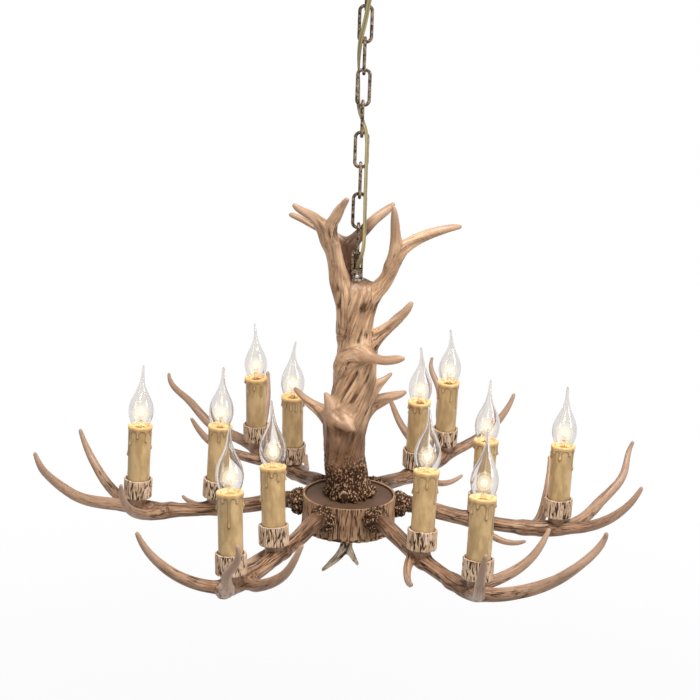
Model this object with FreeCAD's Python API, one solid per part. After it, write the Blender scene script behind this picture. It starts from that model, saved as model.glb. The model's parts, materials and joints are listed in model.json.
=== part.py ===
import FreeCAD, Part
import math
import os
from FreeCAD import Matrix, Placement, Rotation, Vector

# Twelve-light antler chandelier on a link chain. Millimetres, +Z up.
# The origin is on the lamp's axis in the ceiling plane, and the lamp hangs below it.
# X points to the right and Y away from someone who looks at the front.

# Ceiling bracket
BRACKET_LENGTH = 108.0
BRACKET_WIDTH = 22.0
BRACKET_THICK = 2.5
SLOT_SPACING = 76.0
SLOT_WIDTH = 5.5
SLOT_LENGTH = 14.0

# Canopy, the bell that hides the ceiling box
CANOPY_D = 126.0
CANOPY_HEIGHT = 58.0
CANOPY_EDGE_R = 24.0
CANOPY_WALL = 1.6
COLLAR_D = 26.0
COLLAR_HEIGHT = 8.0

# Ceiling loop with its threaded shank
SHANK_D = 10.0
LOCK_NUT_FLATS = 17.0
LOCK_NUT_HEIGHT = 5.0
LOOP_BOSS_D = 17.0
LOOP_BOSS_HEIGHT = 6.0
LOOP_WIRE_D = 5.0
LOOP_WIDTH = 22.0
LOOP_DROP = 23.0
LOOP_CORNER_R = 6.5

# Wiring in the canopy
BLOCK_LENGTH = 26.0
BLOCK_WIDTH = 16.0
BLOCK_HEIGHT = 18.0
BLOCK_SCREW_D = 4.0
GRIP_LENGTH = 9.0
GRIP_WALL = 1.8
BUSHING_FLANGE_D = 13.0
BUSHING_FLANGE_HEIGHT = 2.0
BUSHING_NECK_WALL = 1.4
CORD_D = 5.0
CORD_CLEARANCE = 0.6

# Chain
LINK_COUNT = 9
LINK_LENGTH = 49.8
LINK_WIDTH = 20.5
LINK_WIRE_D = 4.5
LINK_CORNER_R = 6.5
LINK_SEAM = 0.6
CHAIN_GAP = 0.3

# Yoke that hangs the lamp in the last link
YOKE_BAR_D = 5.0
YOKE_STRAP_THICK = 3.0
YOKE_STRAP_WIDTH = 9.0
YOKE_WIDTH = 15.5
YOKE_COLLAR_HEIGHT = 13.0
YOKE_WINDOW_HEIGHT = 17.8
YOKE_CUP_DEPTH = 6.0
YOKE_CUP_D = 12.6
YOKE_SCREW_D = 3.0
YOKE_SCREW_HEAD_D = 5.2
YOKE_SCREW_HEAD_HEIGHT = 1.6
WASHER_D = 18.5
WASHER_THICK = 3.0
WASHER_TEETH = 10

# Stem, the threaded tube through the middle
STEM_D = 10.0
STEM_BORE_D = 7.4
BORE_CLEARANCE = 0.3
STEM_IN_FINIAL = 14.0

# Antler column
COLUMN_HEIGHT = 307.0
COLUMN_BURR_D = 78.0
COLUMN_BURR_THICK = 16.0
COLUMN_BURR_LOBES = 13
COLUMN_TOP_D = 34.0

# Hub drum with its plates
DRUM_D = 130.0
DRUM_HEIGHT = 48.0
DRUM_WALL = 9.0
PLATE_THICK = 3.0
PLATE_LEDGE = 4.0
PLATE_RECESS = 2.4
PLATE_CLEARANCE = 0.3

# Finial under the drum
FINIAL_BURR_D = 30.0
FINIAL_BURR_THICK = 11.0
FINIAL_BURR_LOBES = 9

# Arms
ARM_COUNT = 6
ARM_ROOT_ABOVE_DRUM_FLOOR = 33.0
ARM_BURR_D = 42.0
ARM_BURR_THICK = 15.0
ARM_BURR_LOBES = 11
BOLT_D = 6.0
BOLT_GRIP = 24.0
BOLT_CLEARANCE = 0.3
BOLT_HEAD_FLATS = 10.0
BOLT_HEAD_HEIGHT = 4.0
SADDLE_WASHER_D = 16.0
SADDLE_WASHER_THICK = 2.5
# How each arm came to sit when its bolt was pulled tight: turn about the lamp, roll and droop, in degrees
ARM_TURN = (3.7, -0.3, -1.1, -2.6, 0.5, 2.2)
ARM_ROLL = (-1.4, 3.3, -3.0, 0.8, 4.4, -4.0)
ARM_DROOP = (4.5, -0.8, 0.0, 1.3, -0.1, -0.2)

# Candles
CANDLE_LEAN = 3.5
INNER_SEAT = Vector(121.5, -4.5, 1.3)
OUTER_SEAT = Vector(232.0, 4.0, 1.3)
POST_TOP_D = 27.0
POST_FOOT_D = 15.0
CUP_HEIGHT = 27.0
CUP_WALL = 3.2
CUP_FLOOR = 3.0
CUP_CLEARANCE = 1.0
SLEEVE_D = 31.0
SLEEVE_WALL = 1.5
SLEEVE_LENGTH = 102.0
HOLDER_CLEARANCE = 0.4
HOLDER_BELOW_RIM = 12.0
HOLDER_HEAD_HEIGHT = 30.0
HOLDER_PIPE_D = 11.0
HOLDER_FLANGE_D = 24.0
HOLDER_FLANGE_THICK = 2.0
NIPPLE_D = 10.0
NIPPLE_LENGTH = 9.0

# Bulbs, bent-tip flame on a small screw cap
BULB_D = 35.0
BULB_HEIGHT = 85.0
BULB_NECK_D = 15.0
BULB_NECK_DEPTH = 9.0
BULB_WALL = 0.8
BULB_TIP_BEND = 4.5
CAP_D = 14.0
CAP_LENGTH = 21.0
CAP_CONTACT_D = 8.0
CAP_CONTACT_HEIGHT = 3.0
CAP_CLEARANCE = 0.35
MOUNT_D = 5.0
MOUNT_HEIGHT = 20.0
FILAMENT_WIRE_D = 1.0
FILAMENT_SPAN = 8.0
FILAMENT_RISE = 9.0
# The way each bulb's tip points once it is screwed in, in degrees about the lamp's upright
INNER_TIP_TURN = (90.0, 240.0, 0.0, 283.0, 95.0, 127.0)
OUTER_TIP_TURN = (244.0, 232.0, 128.0, 70.0, 300.0, 90.0)

# Route of the flex from the terminal block, laced along the chain, into the stem
CORD_ROUTE = (
    (17.0, -20.0, -23.0), (17.0, -20.0, -36.0), (17.3, -20.1, -51.0), (17.0, -20.0, -67.0),
    (13.5, -18.5, -82.0), (8.5, -16.5, -99.0), (4.0, -14.6, -117.0), (1.4, -11.8, -135.0),
    (-1.6, -9.4, -152.0), (-5.6, -7.8, -169.0), (-7.2, -3.8, -186.0), (-7.2, 3.2, -202.0),
    (-6.6, 7.4, -219.0), (-6.4, 7.6, -236.0), (-6.0, 5.6, -252.0), (-4.0, 2.6, -264.0),
    (1.0, -1.4, -275.0), (5.4, -5.2, -286.0), (7.4, -6.6, -303.0), (7.2, -6.2, -327.0),
    (7.6, -6.6, -352.0), (7.4, -6.4, -378.0), (8.0, -6.8, -403.0), (8.2, -8.4, -424.0),
    (7.8, -10.6, -440.0), (5.4, -10.7, -453.0), (1.4, -6.0, -464.0), (0.3, -0.9, -475.0),
    (0.0, 0.0, -489.0),
)

LOFT_DEGREE = 3
UP = Vector(0, 0, 1)
OUT = Vector(1, 0, 0)

# Heights that follow from the sizes above
LOOP_TOP = -CANOPY_HEIGHT - COLLAR_HEIGHT
LOOP_BAR_Z = LOOP_TOP - LOOP_BOSS_HEIGHT - LOOP_DROP + LOOP_WIRE_D / 2
LINK_PITCH = LINK_LENGTH - 2 * LINK_WIRE_D - CHAIN_GAP
LINK_HALF = LINK_LENGTH / 2 - LINK_WIRE_D / 2
FIRST_LINK_Z = LOOP_BAR_Z + LOOP_WIRE_D / 2 + CHAIN_GAP + LINK_WIRE_D / 2 - LINK_HALF
LAST_LINK_Z = FIRST_LINK_Z - (LINK_COUNT - 1) * LINK_PITCH
YOKE_BAR_Z = LAST_LINK_Z - LINK_HALF + LINK_WIRE_D / 2 + CHAIN_GAP + YOKE_BAR_D / 2
YOKE_TOP_Z = YOKE_BAR_Z - YOKE_BAR_D / 2 - YOKE_WINDOW_HEIGHT
YOKE_BOTTOM_Z = YOKE_TOP_Z - YOKE_COLLAR_HEIGHT
COLUMN_TOP_Z = YOKE_BOTTOM_Z - WASHER_THICK
COLUMN_FOOT_Z = COLUMN_TOP_Z - COLUMN_HEIGHT
DRUM_TOP_Z = COLUMN_FOOT_Z + PLATE_RECESS
DRUM_FLOOR_Z = DRUM_TOP_Z - DRUM_HEIGHT
LOWER_PLATE_Z = DRUM_FLOOR_Z + PLATE_RECESS
ARM_ROOT_Z = DRUM_FLOOR_Z + ARM_ROOT_ABOVE_DRUM_FLOOR
SLEEVE_TOP = CUP_FLOOR + SLEEVE_LENGTH


def cylinder(d, height, z=0.0, x=0.0, y=0.0):
    """Upright cylinder from height z."""
    return Part.makeCylinder(d / 2, height, Vector(x, y, z))


def ring(outer_d, inner_d, height, z=0.0):
    return cylinder(outer_d, height, z).cut(cylinder(inner_d, height + 2, z - 1))


def joined(shapes):
    """One solid from overlapping ones, joined one after another."""
    body = shapes[0]
    for shape in shapes[1:]:
        body = body.fuse(shape)
    return body


def hexagon(flats, height, z):
    """Upright hexagonal prism."""
    r = flats / math.sqrt(3)
    turns = [math.radians(60 * i) for i in range(7)]
    corners = [Vector(r * math.cos(a), r * math.sin(a), z) for a in turns]
    return Part.Face(Part.makePolygon(corners)).extrude(Vector(0, 0, height))


def revolve(profile):
    """Turns a closed outline of (radius, height) points about the upright axis."""
    points = [Vector(r, 0, z) for r, z in profile]
    face = Part.Face(Part.makePolygon(points + points[:1]))
    return face.revolve(Vector(), UP, 360)


def section_frames(points):
    """Places of circles square to a smooth curve through the points, with as little twist as possible."""
    curve = Part.BSplineCurve()
    curve.interpolate(points)
    frames = []
    side = None
    for p in points:
        along = Vector(*curve.tangent(curve.parameter(p))[0])
        if side is None:
            side = along.cross(UP) if abs(along.z) < 0.9 else along.cross(OUT)
        side = side - along * side.dot(along)
        side.normalize()
        other = along.cross(side)
        frames.append(Placement(Matrix(side.x, other.x, along.x, p.x, side.y, other.y, along.y, p.y,
                                       side.z, other.z, along.z, p.z, 0, 0, 0, 1)))
    return frames


def horn(stations, tip=True):
    """Tapered, bent antler: a loft through circles at (x, y, z, diameter) stations, with a rounded tip."""
    points = [Vector(x, y, z) for x, y, z, d in stations]
    frames = section_frames(points)
    wires = []
    for frame, station in zip(frames, stations):
        circle = Part.Wire(Part.makeCircle(station[3] / 2))
        circle.Placement = frame
        wires.append(circle)
    body = Part.makeLoft(wires, True, False, False, LOFT_DEGREE)
    if not tip:
        return body
    cap = Part.makeSphere(stations[-1][3] / 2, Vector(), UP, 0, 90, 360)
    cap.Placement = frames[-1]
    return body.fuse(cap)


def lobed_wire(d, depth, lobes, height):
    """Wavy closed curve, for the rough coronet round an antler's root."""
    count = 4 * lobes
    points = []
    for i in range(count):
        a = 2 * math.pi * i / count
        wave = math.sin(lobes * a) + 0.4 * math.sin(3 * a + 1)
        r = d / 2 - depth / 2 + depth / 2 * wave / 1.4
        points.append(Vector(r * math.cos(a), r * math.sin(a), height))
    curve = Part.BSplineCurve()
    curve.interpolate(points, PeriodicFlag=True)
    return Part.Wire(curve.toShape())


def burr(d, thick, lobes):
    """Rough coronet ring that stands on the plane z = 0."""
    levels = ((0.0, 0.88), (0.35, 1.0), (0.7, 0.95), (1.0, 0.80))
    wires = [lobed_wire(d * share, 0.12 * d, lobes, thick * level) for level, share in levels]
    return Part.makeLoft(wires, True, False, False, LOFT_DEGREE)


def ring_path(width, length, corner, seam=0.0):
    """Middle line of a link in the XZ plane: straight legs and ends, round corners, a seam in one leg."""
    w, h, r = width / 2, length / 2, corner
    k = r * (1 - math.sqrt(0.5))
    corners = ((w, h), (-w, h), (-w, -h), (w, -h))
    at = Vector(w, 0, seam / 2)
    edges = []
    for x, z in corners:
        sx, sz = math.copysign(1, x), math.copysign(1, z)
        upright = Vector(x, 0, z - sz * r)
        level = Vector(x - sx * r, 0, z)
        middle = Vector(x - sx * k, 0, z - sz * k)
        start, end = (upright, level) if sx * sz > 0 else (level, upright)
        edges.append(Part.LineSegment(at, start).toShape())
        edges.append(Part.Arc(start, middle, end).toShape())
        at = end
    edges.append(Part.LineSegment(at, Vector(w, 0, -seam / 2)).toShape())
    return Part.Wire(edges)


def pipe(path, d):
    """Round rod along a path of lines and tangent arcs."""
    start = path.OrderedEdges[0]
    begin = start.valueAt(start.FirstParameter)
    if begin.distanceToPoint(path.OrderedVertexes[0].Point) > 1e-6:
        begin = start.valueAt(start.LastParameter)
    along = start.tangentAt(start.FirstParameter)
    profile = Part.Wire(Part.makeCircle(d / 2, begin, along))
    return path.makePipeShell([profile], True, False)


def ceiling_bracket():
    bar = Part.makeBox(BRACKET_LENGTH, BRACKET_WIDTH, BRACKET_THICK,
                       Vector(-BRACKET_LENGTH / 2, -BRACKET_WIDTH / 2, -BRACKET_THICK))
    upright = [e for e in bar.Edges if abs(e.tangentAt(e.FirstParameter).z) > 0.9]
    bar = bar.makeFillet(BRACKET_WIDTH / 4, upright)
    for side in (-1, 1):
        middle = side * SLOT_SPACING / 2
        run = SLOT_LENGTH - SLOT_WIDTH
        slot = Part.makeBox(run, SLOT_WIDTH, BRACKET_THICK + 2,
                            Vector(middle - run / 2, -SLOT_WIDTH / 2, -BRACKET_THICK - 1))
        for end in (-run / 2, run / 2):
            slot = slot.fuse(cylinder(SLOT_WIDTH, BRACKET_THICK + 2, -BRACKET_THICK - 1, middle + end))
        bar = bar.cut(slot)
    return bar.cut(cylinder(SHANK_D, BRACKET_THICK + 2, -BRACKET_THICK - 1))


def loop_lock_nut():
    z = -BRACKET_THICK - LOCK_NUT_HEIGHT
    return hexagon(LOCK_NUT_FLATS, LOCK_NUT_HEIGHT, z).cut(cylinder(SHANK_D, LOCK_NUT_HEIGHT + 2, z - 1))


def canopy_skin(inset):
    """Outer form of the canopy, or its inner form at a wall's depth."""
    r, edge = CANOPY_D / 2 - inset, CANOPY_EDGE_R - inset
    low, top = -CANOPY_HEIGHT + inset, (1.0 if inset else 0.0)
    flat, rim = r - edge, low + edge
    middle = Vector(flat + edge * math.sqrt(0.5), 0, rim - edge * math.sqrt(0.5))
    edges = [
        Part.LineSegment(Vector(0, 0, top), Vector(r, 0, top)).toShape(),
        Part.LineSegment(Vector(r, 0, top), Vector(r, 0, rim)).toShape(),
        Part.Arc(Vector(r, 0, rim), middle, Vector(flat, 0, low)).toShape(),
        Part.LineSegment(Vector(flat, 0, low), Vector(0, 0, low)).toShape(),
        Part.LineSegment(Vector(0, 0, low), Vector(0, 0, top)).toShape(),
    ]
    return Part.Face(Part.Wire(edges)).revolve(Vector(), UP, 360)


def bushing_place():
    """Where the flex passes the canopy's floor."""
    x, y, z = CORD_ROUTE[3]
    return x, y


def bushing_neck_d():
    return CORD_D + 2 * CORD_CLEARANCE + 2 * BUSHING_NECK_WALL


def canopy():
    x, y = bushing_place()
    shell = canopy_skin(0.0).cut(canopy_skin(CANOPY_WALL))
    floor = -CANOPY_HEIGHT - 1
    shell = shell.cut(cylinder(SHANK_D + 2 * BORE_CLEARANCE, CANOPY_WALL + 2, floor))
    return shell.cut(cylinder(bushing_neck_d(), CANOPY_WALL + 2, floor, x, y))


def canopy_collar():
    z = LOOP_TOP
    profile = [(SHANK_D / 2, z), (COLLAR_D / 2 - 3, z), (COLLAR_D / 2, z + COLLAR_HEIGHT * 0.45),
               (COLLAR_D / 2, z + COLLAR_HEIGHT), (SHANK_D / 2, z + COLLAR_HEIGHT)]
    return revolve(profile)


def ceiling_loop():
    """Threaded shank, boss and the half link that carries the chain."""
    body = cylinder(SHANK_D, -LOOP_TOP, LOOP_TOP)
    boss_z = LOOP_TOP - LOOP_BOSS_HEIGHT
    body = body.fuse(cylinder(LOOP_BOSS_D, LOOP_BOSS_HEIGHT, boss_z))
    width, reach = LOOP_WIDTH - LOOP_WIRE_D, boss_z - LOOP_BAR_Z
    loop = pipe(ring_path(width, 2 * reach, LOOP_CORNER_R), LOOP_WIRE_D)
    loop.translate(Vector(0, 0, boss_z))
    below = Part.makeBox(LOOP_WIDTH, LOOP_WIRE_D, 2 * reach,
                         Vector(-LOOP_WIDTH / 2, -LOOP_WIRE_D / 2, boss_z - 2 * reach))
    shoulder = Part.makeBox(LOOP_WIDTH, LOOP_WIRE_D, LOOP_BOSS_HEIGHT,
                            Vector(-LOOP_WIDTH / 2, -LOOP_WIRE_D / 2, boss_z))
    ends = [e for e in shoulder.Edges if abs(e.tangentAt(e.FirstParameter).z) > 0.9]
    shoulder = shoulder.makeFillet(LOOP_WIRE_D * 0.499, ends)
    return body.fuse([loop.common(below), shoulder])


def cord_bushing():
    x, y = bushing_place()
    bore = CORD_D + 2 * CORD_CLEARANCE
    low = -CANOPY_HEIGHT - BUSHING_FLANGE_HEIGHT
    body = cylinder(BUSHING_FLANGE_D, BUSHING_FLANGE_HEIGHT, low, x, y)
    body = body.fuse(cylinder(bushing_neck_d(), CANOPY_WALL + 2 * BUSHING_FLANGE_HEIGHT, low, x, y))
    return body.cut(cylinder(bore, CANOPY_WALL + 4 * BUSHING_FLANGE_HEIGHT, low - 1, x, y))


def terminal_block():
    """Screw block under the bracket, with a grip in which the flex ends."""
    x, y, z = CORD_ROUTE[0]
    low = -BRACKET_THICK - BLOCK_HEIGHT
    body = Part.makeBox(BLOCK_LENGTH, BLOCK_WIDTH / 2 - y, BLOCK_HEIGHT,
                        Vector(x - BLOCK_LENGTH / 2, y - BLOCK_WIDTH / 2, low))
    nut_room = LOCK_NUT_FLATS / math.sqrt(3) + 1
    body = body.cut(cylinder(2 * nut_room, BLOCK_HEIGHT + 2, low - 1))
    for side in (-1, 1):
        body = body.cut(cylinder(BLOCK_SCREW_D, BLOCK_HEIGHT / 2, low - 1, x + side * BLOCK_LENGTH / 3, y))
    grip = cylinder(CORD_D + 2 * GRIP_WALL, GRIP_LENGTH, low - GRIP_LENGTH, x, y)
    return body.fuse(grip).cut(cylinder(CORD_D, z - low + GRIP_LENGTH, low - GRIP_LENGTH, x, y))


def chain_link(number):
    """Open-seamed link; odd links lie in the YZ plane and even ones in the XZ plane."""
    path = ring_path(LINK_WIDTH - LINK_WIRE_D, LINK_LENGTH - LINK_WIRE_D, LINK_CORNER_R, LINK_SEAM)
    link = pipe(path, LINK_WIRE_D)
    if number % 2:
        link.rotate(Vector(), UP, -90)
    link.translate(Vector(0, 0, FIRST_LINK_Z - (number - 1) * LINK_PITCH))
    return link


def hanger_yoke():
    """Inverted U whose round bar lies in the last link, on a collar that clamps the stem."""
    w = YOKE_WIDTH
    collar = Part.makeBox(w, w, YOKE_COLLAR_HEIGHT, Vector(-w / 2, -w / 2, YOKE_BOTTOM_Z))
    upright = [e for e in collar.Edges if abs(e.tangentAt(e.FirstParameter).z) > 0.9]
    collar = collar.makeFillet(w / 8, upright)
    pieces = []
    for side in (-1, 1):
        x = side * (w - YOKE_STRAP_THICK) / 2 - YOKE_STRAP_THICK / 2
        height = YOKE_BAR_Z - YOKE_TOP_Z + 1
        strap = Part.makeBox(YOKE_STRAP_THICK, YOKE_STRAP_WIDTH, height,
                             Vector(x, -YOKE_STRAP_WIDTH / 2, YOKE_TOP_Z - 1))
        eye = Part.makeCylinder(YOKE_STRAP_WIDTH / 2, YOKE_STRAP_THICK, Vector(x, 0, YOKE_BAR_Z), OUT)
        pieces += [strap, eye]
    pieces.append(Part.makeCylinder(YOKE_BAR_D / 2, w - YOKE_STRAP_THICK,
                                    Vector(-(w - YOKE_STRAP_THICK) / 2, 0, YOKE_BAR_Z), OUT))
    body = collar.fuse(pieces)
    body = body.cut(cylinder(STEM_D, YOKE_COLLAR_HEIGHT + 1, YOKE_BOTTOM_Z - 1))
    body = body.cut(cylinder(YOKE_CUP_D, YOKE_CUP_DEPTH, YOKE_TOP_Z - YOKE_CUP_DEPTH))
    hole = Part.makeCylinder(YOKE_SCREW_D / 2, w, Vector(0, 0, yoke_screw_z()), Vector(0, -1, 0))
    return body.cut(hole)


def yoke_screw_z():
    return YOKE_BOTTOM_Z + (YOKE_COLLAR_HEIGHT - YOKE_CUP_DEPTH) / 2


def yoke_screw():
    """Pan-head screw at the front that clamps the stem."""
    face, z = -YOKE_WIDTH / 2, yoke_screw_z()
    shank = Part.makeCylinder(YOKE_SCREW_D / 2, -face - STEM_D / 2, Vector(0, face, z), Vector(0, 1, 0))
    head = Part.makeCylinder(YOKE_SCREW_HEAD_D / 2, YOKE_SCREW_HEAD_HEIGHT, Vector(0, face, z),
                             Vector(0, -1, 0))
    rim = [e for e in head.Edges if e.Curve.TypeId == "Part::GeomCircle" and e.CenterOfMass.y < face - 0.1]
    head = head.makeFillet(YOKE_SCREW_HEAD_HEIGHT * 0.6, rim)
    slot = Part.makeBox(YOKE_SCREW_HEAD_D, YOKE_SCREW_HEAD_HEIGHT, 0.8,
                        Vector(-YOKE_SCREW_HEAD_D / 2, face - 1.5 * YOKE_SCREW_HEAD_HEIGHT, z - 0.4))
    return shank.fuse(head).cut(slot)


def star_washer():
    """Toothed washer between the yoke and the column."""
    body = ring(WASHER_D, STEM_D, WASHER_THICK, COLUMN_TOP_Z)
    notch_d = 0.5 * math.pi * WASHER_D / WASHER_TEETH
    for i in range(WASHER_TEETH):
        a = 2 * math.pi * (i + 0.5) / WASHER_TEETH
        x, y = WASHER_D / 2 * math.cos(a), WASHER_D / 2 * math.sin(a)
        body = body.cut(cylinder(notch_d, WASHER_THICK + 2, COLUMN_TOP_Z - 1, x, y))
    return body


def stem_tube():
    low = LOWER_PLATE_Z - STEM_IN_FINIAL
    return ring(STEM_D, STEM_BORE_D, YOKE_TOP_Z - YOKE_CUP_DEPTH - low, low)


def stem_hole(low, height):
    """Room for the stem in what it passes through."""
    return cylinder(STEM_D + 2 * BORE_CLEARANCE, height, low)


def column_horns():
    """The column's antlers and tines, heights measured from the plate it stands on."""
    left = [(-8, -6, 236, 32), (-17, -10, 284, 27), (-26, -16, 322, 22.5), (-31, -21, 345, 20),
            (-39, -27, 368, 20), (-52, -31, 390, 15), (-68, -35, 402, 11), (-84, -38, 412, 6.5)]
    left_fork = [(-36, -26, 366, 18), (-33, -34, 391, 16), (-25, -43, 410, 12), (-16, -52, 425, 6.5)]
    right = [(2, -2, 240, 32), (11, -3, 262, 27), (20.5, -5, 284, 23), (35.5, -8, 306, 21), (47, -9, 332, 19),
             (50, -12, 358, 15), (48, -20, 388, 11), (45, -28, 413, 4.6)]
    right_fork = [(46, -9, 330, 16), (56, -9, 348, 17), (71, -8, 362, 16), (90, -5, 372, 14),
                  (111, -2, 379, 12), (135, 3, 384, 6.5)]
    back = [(-2, 8, 240, 32), (-5, 14, 276, 27), (-8, 20, 304, 24), (-10, 26, 326, 22), (-10, 32, 345, 20),
            (2, 39, 362, 17), (17, 44, 377, 15), (33, 49, 390.5, 12.5), (46, 52, 402, 6.5)]
    back_fork = [(-9, 25, 322, 19), (-18, 34, 347, 17), (-38, 39, 360, 15), (-58, 42, 370, 13),
                 (-76, 45, 378, 10.5), (-92, 48, 384, 6.8)]
    upper_right = [(4, -1, 200, 34), (22, -3, 220, 25), (38, -5, 237.5, 18.5), (55, -8, 255, 15.5),
                   (68, -11, 270, 12), (74, -12, 280, 6.6)]
    front_right = [(-6, 3, 158, 36), (-8, -6, 180, 33), (-4, -14, 200, 32), (7, -21, 209, 25),
                   (20, -29, 209.5, 19), (36, -37, 208, 14.5), (53, -41, 209, 12.5), (65, -44, 212, 6.6)]
    stub_right = [(14, 4, 138, 26), (28, 8, 154, 18), (40, 12, 164, 11), (52, 16, 173, 5)]
    low_right = [(2, 3, 106, 34), (20, 12, 125, 26), (38, 22, 132, 19), (56, 33, 135, 14),
                 (73, 47, 138, 6.2)]
    low_left = [(-14, 4, 88, 36), (-32, 9, 111, 24), (-49, 18, 120, 16), (-66, 29, 129, 11.5),
                (-80, 40, 139, 5.6)]
    wrapped = [(-14, -11, 14, 32), (-17, -14, 50, 32), (-19.5, -16, 86, 31), (-22.5, -16, 112, 26),
               (-28, -15, 131, 18), (-33.5, -14.5, 143, 11), (-37, -15, 151, 5)]
    beak = [(-20, -4, 116, 34), (-20, -12, 118, 33), (-16, -20, 117, 29), (-9, -28, 114, 22),
            (-2, -35.5, 110.5, 13), (3, -41, 108, 6)]
    return (left, left_fork, right, right_fork, back, back_fork, upper_right, front_right, stub_right,
            low_right, low_left, wrapped, beak)


def column_trunk():
    """The merged stems: a loft that sways about the stem, from the burr to the seat of the washer."""
    stations = [(1, 0, 3, 42), (0, 0, 15, 58), (-3.5, 0, 34, 57), (-7, 0, 58, 56), (-8.5, 0, 104, 56),
                (0, 0, 150, 56), (4.5, 0, 194, 53), (1, 0, 238, 47), (1, 0, 275, 50),
                (0, 0, COLUMN_HEIGHT, COLUMN_TOP_D)]
    wires = [Part.Wire(Part.makeCircle(d / 2, Vector(x, y, z))) for x, y, z, d in stations]
    crown = burr(COLUMN_BURR_D, COLUMN_BURR_THICK, COLUMN_BURR_LOBES)
    return Part.makeLoft(wires, True, False, False, LOFT_DEGREE).fuse(crown)


def antler_column():
    body = joined([column_trunk()] + [horn(s) for s in column_horns()])
    body.translate(Vector(0, 0, COLUMN_FOOT_Z))
    above = cylinder(WASHER_D + 4, YOKE_BAR_Z - COLUMN_TOP_Z, COLUMN_TOP_Z)
    return body.cut(above).cut(stem_hole(COLUMN_FOOT_Z - 1, COLUMN_HEIGHT + 2))


def hub_plate(z):
    """Round plate on a ledge of the drum, clamped by the stem."""
    seat_d = DRUM_D - 2 * DRUM_WALL + 2 * PLATE_LEDGE
    return ring(seat_d - 2 * PLATE_CLEARANCE, STEM_D + 2 * BORE_CLEARANCE, PLATE_THICK, z)


def hub_top_plate():
    return hub_plate(COLUMN_FOOT_Z - PLATE_THICK)


def hub_bottom_plate():
    return hub_plate(LOWER_PLATE_Z)


def arm_place(number):
    """Where arm 0 to 5 is bolted: its own origin is on the drum's wall, X outwards."""
    place = Placement(Vector(), Rotation(UP, 360.0 / ARM_COUNT * number + ARM_TURN[number]))
    root = Placement(Vector(DRUM_D / 2, 0, ARM_ROOT_Z), Rotation())
    tilt = Rotation(Vector(0, 1, 0), ARM_DROOP[number]).multiply(Rotation(OUT, ARM_ROLL[number]))
    return place.multiply(root).multiply(Placement(Vector(), tilt))


def placed(shape, place):
    """A copy of the shape at a place."""
    result = shape.copy()
    result.Placement = place.multiply(result.Placement)
    return result


def rod_along_arm(d, start, end):
    """Cylinder on the arm's bolt axis."""
    return Part.makeCylinder(d / 2, end - start, Vector(start, 0, 0), OUT)


def hub_drum():
    """Bark-covered drum, ledged at both ends for its plates and drilled for the arms' bolts."""
    bore_d = DRUM_D - 2 * DRUM_WALL
    seat_d = bore_d + 2 * PLATE_LEDGE
    seat = PLATE_RECESS + PLATE_THICK
    body = ring(DRUM_D, bore_d, DRUM_HEIGHT, DRUM_FLOOR_Z)
    body = body.cut(cylinder(seat_d, seat, DRUM_TOP_Z - seat))
    body = body.cut(cylinder(seat_d, seat, DRUM_FLOOR_Z))
    rims = [e for e in body.Edges if abs(e.CenterOfMass.z - DRUM_TOP_Z) < 0.01 or
            abs(e.CenterOfMass.z - DRUM_FLOOR_Z) < 0.01]
    outer = [e for e in rims if e.Length > math.pi * DRUM_D * 0.99]
    body = body.makeFillet((DRUM_WALL - PLATE_LEDGE) / 4, outer)
    hole = rod_along_arm(BOLT_D + 2 * BOLT_CLEARANCE, -2 * DRUM_WALL, DRUM_WALL)
    return body.cut([placed(hole, arm_place(k)) for k in range(ARM_COUNT)])


def arm_bolts():
    """Bolt and saddle washer of each arm, from inside the drum."""
    inner = cylinder(DRUM_D - 2 * DRUM_WALL, 3 * DRUM_HEIGHT, DRUM_FLOOR_Z - DRUM_HEIGHT)
    seat = -DRUM_WALL - SADDLE_WASHER_THICK
    solids = []
    for k in range(ARM_COUNT):
        place = arm_place(k)
        washer = rod_along_arm(SADDLE_WASHER_D, seat, 0).cut(rod_along_arm(BOLT_D, seat - 1, 1))
        solids.append(placed(washer, place).common(inner))
        head = hexagon(BOLT_HEAD_FLATS, BOLT_HEAD_HEIGHT, 0)
        head.rotate(Vector(), Vector(0, 1, 0), -90)
        head.translate(Vector(seat, 0, 0))
        shank = rod_along_arm(BOLT_D, seat - BOLT_HEAD_HEIGHT / 2, BOLT_GRIP)
        solids.append(placed(head.fuse(shank), place))
    return Part.makeCompound(solids)


def candle_place(seat):
    """Where a cup sits on the arm: on its post, leaning inwards."""
    return Placement(seat, Rotation(Vector(0, 1, 0), -CANDLE_LEAN))


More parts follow.
